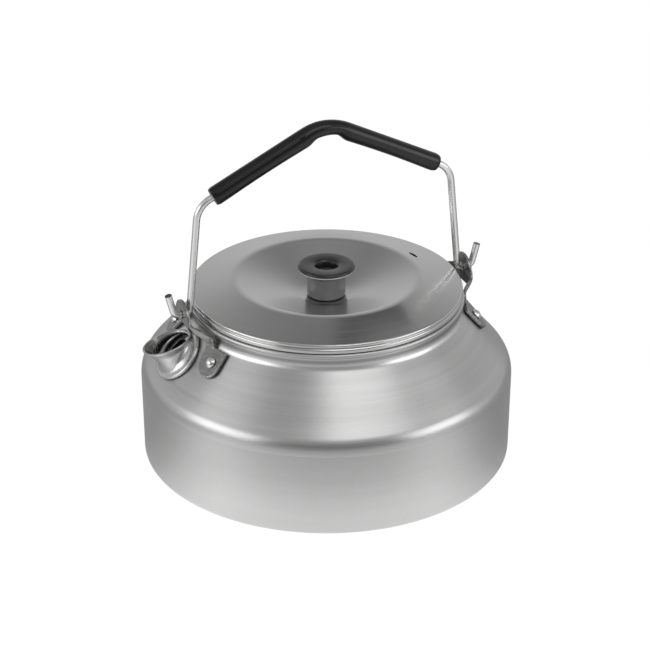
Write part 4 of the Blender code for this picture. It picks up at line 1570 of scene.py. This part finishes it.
    def grip_angles(self) -> list[tuple[float, bool]]:
        """Angles round the grip, closer at the slit.

        Returns:
            Each angle in degrees, and whether it lies in the slit.
        """
        half = self.slit_half
        angles = [(float(a), False) for a in range(0, 360, self.grip_turn)
                  if abs(a - self.slit_angle) > half + self.slit_clear]
        for sign in (-1.0, 1.0):
            angles += [(self.slit_angle + sign * (half + self.slit_lip), False),
                       (self.slit_angle + sign * half, True)]
        return sorted(angles)

    def build_grip(self, finish: MouldedPlastic) -> bpy.types.Object:
        """Loft the sleeve round the wire.

        Args:
            finish: Its plastic.

        Returns:
            The dressed grip.
        """
        whole = spread(self.path(self.grip_steps), self.grip_pitch)
        path = [p for p in whole if abs(p.x) < self.grip_reach - self.grip_end_cut]
        ends = []
        for near, after, sign in ((path[0], path[1], -1.0), (path[-1], path[-2], 1.0)):
            along = (near - after).normalized()
            ends.append(near + along * (self.grip_reach - sign * near.x) / abs(along.x))
        path = [ends[0]] + path + [ends[1]]
        outer, inner = [], []
        for i, point in enumerate(path):
            along = (path[min(i + 1, len(path) - 1)] - path[max(i - 1, 0)]).normalized()
            up = Vector((-along.z, 0.0, along.x))
            chamfer = self.grip_chamfer if i in (0, len(path) - 1) else 0.0
            slit = self.slit_depth * ease((-point.x - self.slit_start) / self.slit_fade)
            ring, bore = [], []
            for degrees, sunk in self.grip_angles():
                angle = math.radians(degrees)
                facing = up * math.cos(angle) - Vector((0.0, math.sin(angle), 0.0))
                reach = self.grip_size(point.x, math.cos(angle)) - chamfer
                ring.append(point + facing * (reach - slit if sunk else reach))
                bore.append(point + facing * (self.wire + self.fits.join))
            outer.append(ring)
            inner.append(bore)
        grip = loft("sleeve_grip", outer + inner[::-1])
        return dress(grip, BodyName.BAIL, finish.material(), "grip_plastic", "bail_grip")


@dataclass(frozen=True)
class Lid:
    """Spun lid with dish, hemmed edge, vent and plug, its spool knob and the knob's fixings."""

    shell: Shell
    radius: float = 54.5 * MM
    sheet: float = 0.8 * MM
    hem: float = 0.9 * MM
    hem_gap: float = 0.1 * MM
    groove: float = 0.6 * MM
    hem_foot: float = 0.15 * MM
    hem_start: float = 75.0
    hem_lap: float = 50.0
    hem_steps: tuple[int, int, int] = (10, 5, 4)
    crest: float = 36.8 * MM
    crest_rise: float = 4.0 * MM
    crest_bend: float = 7.0 * MM
    dish_depth: float = 8.3 * MM
    dish_flat: float = 9.5 * MM
    dish_bend: float = 16.0 * MM
    top_steps: int = 14
    plug_depth: float = 7.2 * MM
    plug_chamfer: float = 0.3 * MM
    plug_web: float = 1.5 * MM
    root_share: float = 0.8
    vent_half: Point2 = (0.85 * MM, 2.9 * MM)
    vent: Point2 = (40.94 * MM, 6.78 * MM)
    vent_sides: int = 40
    knob_flange: float = 11.4 * MM
    knob_neck: float = 7.7 * MM
    knob_height: float = 12.7 * MM
    knob_flange_thick: float = 2.1 * MM
    knob_ledge: float = 1.68 * MM
    knob_fillet: float = 1.4 * MM
    # Millimetres inward and up from the foot of the neck.
    knob_foot: tuple[Point2, ...] = ((0.0, 0.6), (0.2, 0.15), (0.6, 0.0))
    well: Point2 = (4.4 * MM, 5.8 * MM)
    well_foot: float = 0.3 * MM
    # Millimetres outward and down from the well's edge.
    well_mouth: tuple[Point2, ...] = ((0.0, 1.05), (0.08, 0.92), (0.9, 0.1), (1.15, 0.0))
    screw: float = 2.0 * MM
    screw_head: Point2 = (3.6 * MM, 2.2 * MM)
    # Share of the head's radius, and millimetres down from its top.
    screw_crown: tuple[Point2, ...] = ((0.0, 0.0), (0.35, 0.05), (0.6, 0.2), (0.85, 0.6), (1.0, 1.3))
    screw_below: float = 4.7 * MM
    screw_tip: float = 0.4 * MM
    screw_slot: Point2 = (1.0 * MM, 0.9 * MM)
    through: float = 5.0 * MM
    steps: int = 240
    knob_steps: int = 96
    flange_steps: int = 12
    fillet_steps: int = 8
    screw_steps: int = 48

    @property
    def bottom(self) -> float:
        """Height of the lid's seat."""
        return self.shell.rim_top + self.shell.fits.join

    @property
    def crest_z(self) -> float:
        """Height of the crest between the dish and the rim."""
        return self.bottom + 4.0 * self.hem + self.hem_gap + self.crest_rise

    @property
    def floor_z(self) -> float:
        """Height of the dish's floor."""
        return self.crest_z - self.dish_depth

    def skin(self, inset: float) -> list[Point2]:
        """Top skin from the axis to the rim.

        Args:
            inset: Distance below the top.

        Returns:
            Points of radius and height.
        """
        rim = Vector((self.radius - self.hem, self.crest_z - self.crest_rise))
        corners = [Vector((0.0, self.floor_z)), Vector((self.dish_flat, self.floor_z)),
                   Vector((self.crest, self.crest_z)), rim]
        path = rounded_path(corners, (self.dish_bend, self.crest_bend), self.top_steps)
        return [(point.x, point.y - inset) for point in path]

    def build_plate(self, finish: SpunMetal) -> bpy.types.Object:
        """Turn the lid and pierce it for the vent and the screw.

        Args:
            finish: Its metal.

        Returns:
            The dressed lid.
        """
        top = self.skin(0.0)
        hem = self.hem
        ring = self.radius - hem
        lower = self.bottom + hem
        upper = lower + 2.0 * hem + self.hem_gap
        foot = self.hem_foot
        upper_steps, lower_steps, foot_steps = self.hem_steps
        side = arc((ring, upper), hem, self.hem_start, -self.hem_lap, upper_steps)
        side += [(self.radius - self.groove, (lower + upper) / 2.0)]
        side += arc((ring, lower), hem, self.hem_lap, 0.0, lower_steps)
        side += arc((self.radius - foot, self.bottom + foot), foot, 0.0, -90.0, foot_steps)
        plug = self.shell.neck - self.shell.sheet - self.shell.fits.plug
        plug_bottom = self.bottom - self.plug_depth
        wall = plug - self.sheet
        edge = [(plug, self.bottom), (plug, plug_bottom + self.plug_chamfer),
                (plug - self.plug_chamfer, plug_bottom), (wall, plug_bottom)]
        ceiling = [point for point in self.skin(self.sheet) if point[0] < wall - self.plug_web]
        level = top[-1][1] - self.sheet * self.root_share
        lid = revolve("lid_plate", top + side + edge + [(wall, level)] + ceiling[::-1], self.steps)
        floor = Vector((0.0, 0.0, self.floor_z))
        up = Vector((0.0, 0.0, self.through))
        join = self.shell.fits.join
        combine(lid, cylinder("hole", self.screw + join, floor - up, floor + up), Change.CUT)
        slot = cylinder("vent", 1.0, -up, up, self.vent_sides)
        turn = Matrix.Rotation(math.atan2(self.vent[1], self.vent[0]), 4, "Z")
        slot.data.transform(Matrix.Translation((*self.vent, self.crest_z)) @ turn
                            @ Matrix.Diagonal((*self.vent_half, 1.0, 1.0)))
        combine(lid, slot, Change.CUT)
        return dress(lid, BodyName.LID, finish.material(), "lid_shell", "lid")

    def build_knob(self, finish: SpoolPlastic) -> bpy.types.Object:
        """Turn the spool knob with its screw well.

        Args:
            finish: Its plastic.

        Returns:
            The dressed knob.
        """
        join = self.shell.fits.join
        base = self.floor_z + join
        top = base + self.knob_height
        half = self.knob_flange_thick / 2.0
        well, depth = self.well
        profile = [(0.0, top - depth), (well - self.well_foot, top - depth),
                   (well, top - depth + self.well_foot)]
        profile += [(well + out * MM, top - down * MM) for out, down in self.well_mouth]
        profile += arc((self.knob_flange - half, top - half), half, 90.0, -90.0, self.flange_steps)
        under = top - self.knob_flange_thick
        foot, *edge = [(self.knob_neck - inward * MM, base + up * MM) for inward, up in self.knob_foot]
        waist = [Vector((self.knob_flange - self.knob_ledge, under)), Vector((self.knob_neck, under)),
                 Vector(foot)]
        profile += [(p.x, p.y) for p in rounded_path(waist, (self.knob_fillet,), self.fillet_steps)]
        profile += edge + [(0.0, base)]
        knob = revolve("spool_knob", profile, self.knob_steps)
        ends = [Vector((0.0, 0.0, z)) for z in (base - self.screw, top - depth + self.screw / 2.0)]
        combine(knob, cylinder("hole", self.screw + join, *ends), Change.CUT)
        placed = replace(finish, well=well, flange=self.knob_flange, top=top, under=under)
        return dress(knob, BodyName.LID, placed.material(), "knob_plastic", "lid_knob")

    def build_screw(self, finish: PressedMetal) -> bpy.types.Object:
        """Turn the screw and cut its slot.

        Args:
            finish: Its metal.

        Returns:
            The dressed screw.
        """
        join = self.shell.fits.join
        radius, rise = self.screw_head
        head = self.floor_z + join + self.knob_height - self.well[1] + join
        dome = head + rise
        tip = self.floor_z - self.sheet - self.screw_below - 3.0 * join
        crown = [(radius * share, dome - fall * MM) for share, fall in self.screw_crown]
        shank = [(radius, head), (self.screw, head), (self.screw, tip + self.screw_tip),
                 (self.screw - self.screw_tip, tip), (0.0, tip)]
        screw = revolve("knob_fixing_screw", crown + shank, self.screw_steps)
        wide, deep = self.screw_slot
        mesh = bmesh.new()
        bmesh.ops.create_cube(mesh, size=1.0)
        size = Matrix.Diagonal((2.4 * radius, wide, 2.0 * deep, 1.0))
        mesh.transform(Matrix.Translation((0.0, 0.0, dome)) @ size)
        combine(screw, mesh_object("slot", mesh), Change.CUT)
        return dress(screw, BodyName.LID, finish.material(), "screw_steel", "knob_screw")


@dataclass(frozen=True)
class Fixings:
    """CAD nodes under the lid whose shape is right and which take a better finish."""

    nodes: tuple[str, ...] = ("knob_washer", "knob_nut")

    def build(self, finish: PressedMetal) -> None:
        """Give each node its finish and leave its mesh alone.

        Args:
            finish: The metal.
        """
        material = finish.material()
        for name in self.nodes:
            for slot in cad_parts[name].material_slots:
                slot.material = material
            LOG.info("%s keeps its mesh", name)


# The studio


@dataclass(frozen=True)
class Lamp:
    """A soft area lamp aimed at the kettle from an azimuth, counted from the front toward +X."""

    name: str
    azimuth: float
    elevation: float
    distance: float
    size: Point2
    radiance: float
    aim: Point3 = (0.0, 0.0, 50.0 * MM)

    def build(self) -> None:
        """Hang the lamp."""
        turn, lift = math.radians(self.azimuth), math.radians(self.elevation)
        toward = Vector((math.sin(turn) * math.cos(lift), -math.cos(turn) * math.cos(lift), math.sin(lift)))
        data = bpy.data.lights.new(self.name, "AREA")
        data.shape = "RECTANGLE"
        data.size, data.size_y = self.size
        data.energy = self.radiance * math.pi * self.size[0] * self.size[1]
        item = bpy.data.objects.new(self.name, data)
        item.location = Vector(self.aim) + toward * self.distance
        item.rotation_euler = (-toward).to_track_quat("-Z", "Y").to_euler()
        bpy.context.scene.collection.objects.link(item)


@dataclass(frozen=True)
class Studio:
    """Camera, pale floor, soft lamps and surroundings."""

    azimuth: float = math.radians(-22.0)
    elevation: float = math.radians(26.333)
    distance: float = 0.9
    lens: float = 123.71
    target_z: float = 53.58 * MM
    target_right: float = -0.54 * MM
    sensor: float = 36.0
    clip: float = 10.0 * MM
    floor_size: float = 3.0
    floor_tone: Point3 = (0.86, 0.86, 0.86)
    glow: float = 1.09
    glow_share: float = 0.88
    glow_near: float = 1.08
    glow_far: float = 0.60
    glow_reach: Point2 = (80.0 * MM, 150.0 * MM)
    glow_gain: float = 1.4
    glow_front: Point2 = (0.5, 0.92)
    glow_side: float = 0.84
    glow_right: Point2 = (0.0, 0.8)
    glow_fall: float = 0.08
    glow_turn: tuple[Point2, ...] = ((0.0, 0.30), (0.50, 0.34), (0.646, 0.51), (0.75, 0.79), (0.82, 0.91),
                                     (0.883, 0.91), (0.933, 0.82), (1.0, 0.72))
    back_sky: tuple[Point2, ...] = ((0.0, 0.64), (0.12, 0.60), (0.40, 0.54), (0.62, 0.34), (0.76, 0.24),
                                    (0.87, 0.33), (1.0, 0.50))
    front_sky: tuple[Point2, ...] = ((0.0, 0.45), (0.08, 0.20), (0.40, 0.22), (0.62, 0.42), (0.82, 0.52),
                                     (1.0, 0.50))
    sky_front: Point2 = (0.1, 0.8)
    lamps: tuple[Lamp, ...] = (
        Lamp("overhead_soft", azimuth=9.0, elevation=56.0, distance=1.5, size=(1.1, 0.7), radiance=1.15),
        Lamp("left_soft", azimuth=-86.0, elevation=20.0, distance=1.3, size=(1.0, 0.6), radiance=1.75),
        Lamp("right_soft", azimuth=47.0, elevation=18.0, distance=1.3, size=(0.9, 0.55), radiance=1.6),
        Lamp("left_high", azimuth=-97.0, elevation=46.0, distance=1.4, size=(0.7, 0.5), radiance=0.36),
        Lamp("right_high", azimuth=56.0, elevation=46.0, distance=1.4, size=(0.6, 0.4), radiance=0.35),
    )

    def build_camera(self) -> None:
        """Place the camera at the photograph's viewing angle."""
        toward = Vector((math.sin(self.azimuth), -math.cos(self.azimuth), 0.0))
        right = Vector((math.cos(self.azimuth), math.sin(self.azimuth), 0.0))
        target = right * self.target_right + Vector((0.0, 0.0, self.target_z))
        away = toward * math.cos(self.elevation) + Vector((0.0, 0.0, math.sin(self.elevation)))
        data = bpy.data.cameras.new("studio_camera")
        data.lens = self.lens
        data.sensor_width = self.sensor
        data.clip_start = self.clip
        camera = bpy.data.objects.new("studio_camera", data)
        camera.location = target + away * self.distance
        camera.rotation_euler = (-away).to_track_quat("-Z", "Y").to_euler()
        bpy.context.scene.collection.objects.link(camera)
        bpy.context.scene.camera = camera

    def build_floor(self) -> None:
        """Lay a pale floor that shows white and keeps a faint shadow."""
        mesh = bmesh.new()
        bmesh.ops.create_circle(mesh, cap_ends=True, segments=96, radius=self.floor_size)
        floor = mesh_object("studio_floor", mesh)
        material, graph = new_graph("studio_floor_white")
        seen = graph.rays(Ray.CAMERA, Ray.MIRROR, Ray.THROUGH)
        camera = graph.rays(Ray.CAMERA)
        _, x, y, _ = graph.place()
        distance = graph.from_axis(x, y)
        near, far = self.glow_reach
        toward = (x * math.sin(self.azimuth) - y * math.cos(self.azimuth)) / distance
        beside = (x * math.cos(self.azimuth) + y * math.sin(self.azimuth)) / distance
        level = self.glow_far + distance.ramp(far, near) * (self.glow_near - self.glow_far)
        level = self.glow_side + toward.ramp(*self.glow_front) * (level - self.glow_side)
        level = level * graph.graded(self.glow_turn, toward * 0.5 + 0.5) * self.glow_gain
        level = level * (1.0 - beside.ramp(*self.glow_right) * self.glow_fall)
        level = level + camera * (self.glow - level)
        paint = graph.node("ShaderNodeBsdfDiffuse", values={"Color": (*self.floor_tone, 1.0)})
        glow = graph.node("ShaderNodeEmission", values={"Color": (1.0, 1.0, 1.0, 1.0), "Strength": level})
        surface = graph.blend(seen * self.glow_share, paint, glow)
        graph.node("ShaderNodeOutputMaterial", values={"Surface": surface})
        floor.data.materials.append(material)

    def build_world(self) -> None:
        """Surround the kettle: white to the camera, a soft gradient to everything else."""
        world = bpy.data.worlds.new("studio_surroundings")
        world.use_nodes = True
        bpy.context.scene.world = world
        graph = ShaderGraph(world.node_tree)
        source = graph.node("ShaderNodeTexCoord")
        parts = graph.node("ShaderNodeSeparateXYZ", values={0: Term(graph, source.outputs["Generated"])})
        across, behind, height = (Term(graph, parts.outputs[i]) for i in range(3))
        back, front = (graph.graded(stops, height) for stops in (self.back_sky, self.front_sky))
        toward = across * math.sin(self.azimuth) - behind * math.cos(self.azimuth)
        level = back + toward.ramp(*self.sky_front) * (front - back)
        around = graph.node("ShaderNodeBackground", values={"Color": level, "Strength": 1.0})
        white = graph.node("ShaderNodeBackground", values={"Color": (1.0, 1.0, 1.0, 1.0), "Strength": 1.0})
        surface = graph.blend(graph.rays(Ray.CAMERA), around, white)
        graph.node("ShaderNodeOutputWorld", values={"Surface": surface})

    def build(self) -> None:
        """Set up everything that isn't the kettle."""
        self.build_camera()
        self.build_floor()
        self.build_world()
        for lamp in self.lamps:
            lamp.build()
        bpy.context.scene.view_settings.view_transform = "Standard"


def main() -> None:
    """Build the kettle's pieces in order."""
    logging.basicConfig(level=logging.INFO, format="%(name)s: %(message)s")
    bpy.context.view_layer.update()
    Studio().build()
    shell = Shell()
    spout = Spout(shell)
    bail = Bail()
    ear = Ear(shell, bail)
    rivets = Rivets(shell, ear)
    shell.build(BODY_METAL, rivets.places(), ear.rivet_ring, ear.rivet_hole, spout.foot, spout.hole)
    spout.build(SPOUT_METAL)
    ear_metal = EAR_METAL.material()
    ear.build("spout_side_lug", Side.SPOUT, ear_metal, "spout_side_ear")
    ear.build("far_side_lug", Side.FAR, ear_metal, "far_side_ear")
    rivets.build(RIVET_METAL)
    bail.build_wire(WIRE_METAL)
    bail.build_grip(GRIP_PLASTIC)
    lid = Lid(shell)
    lid.build_plate(LID_METAL)
    lid.build_knob(KNOB_PLASTIC)
    lid.build_screw(SCREW_METAL)
    Fixings().build(FIXING_METAL)


if __name__ == "__main__":
    main()
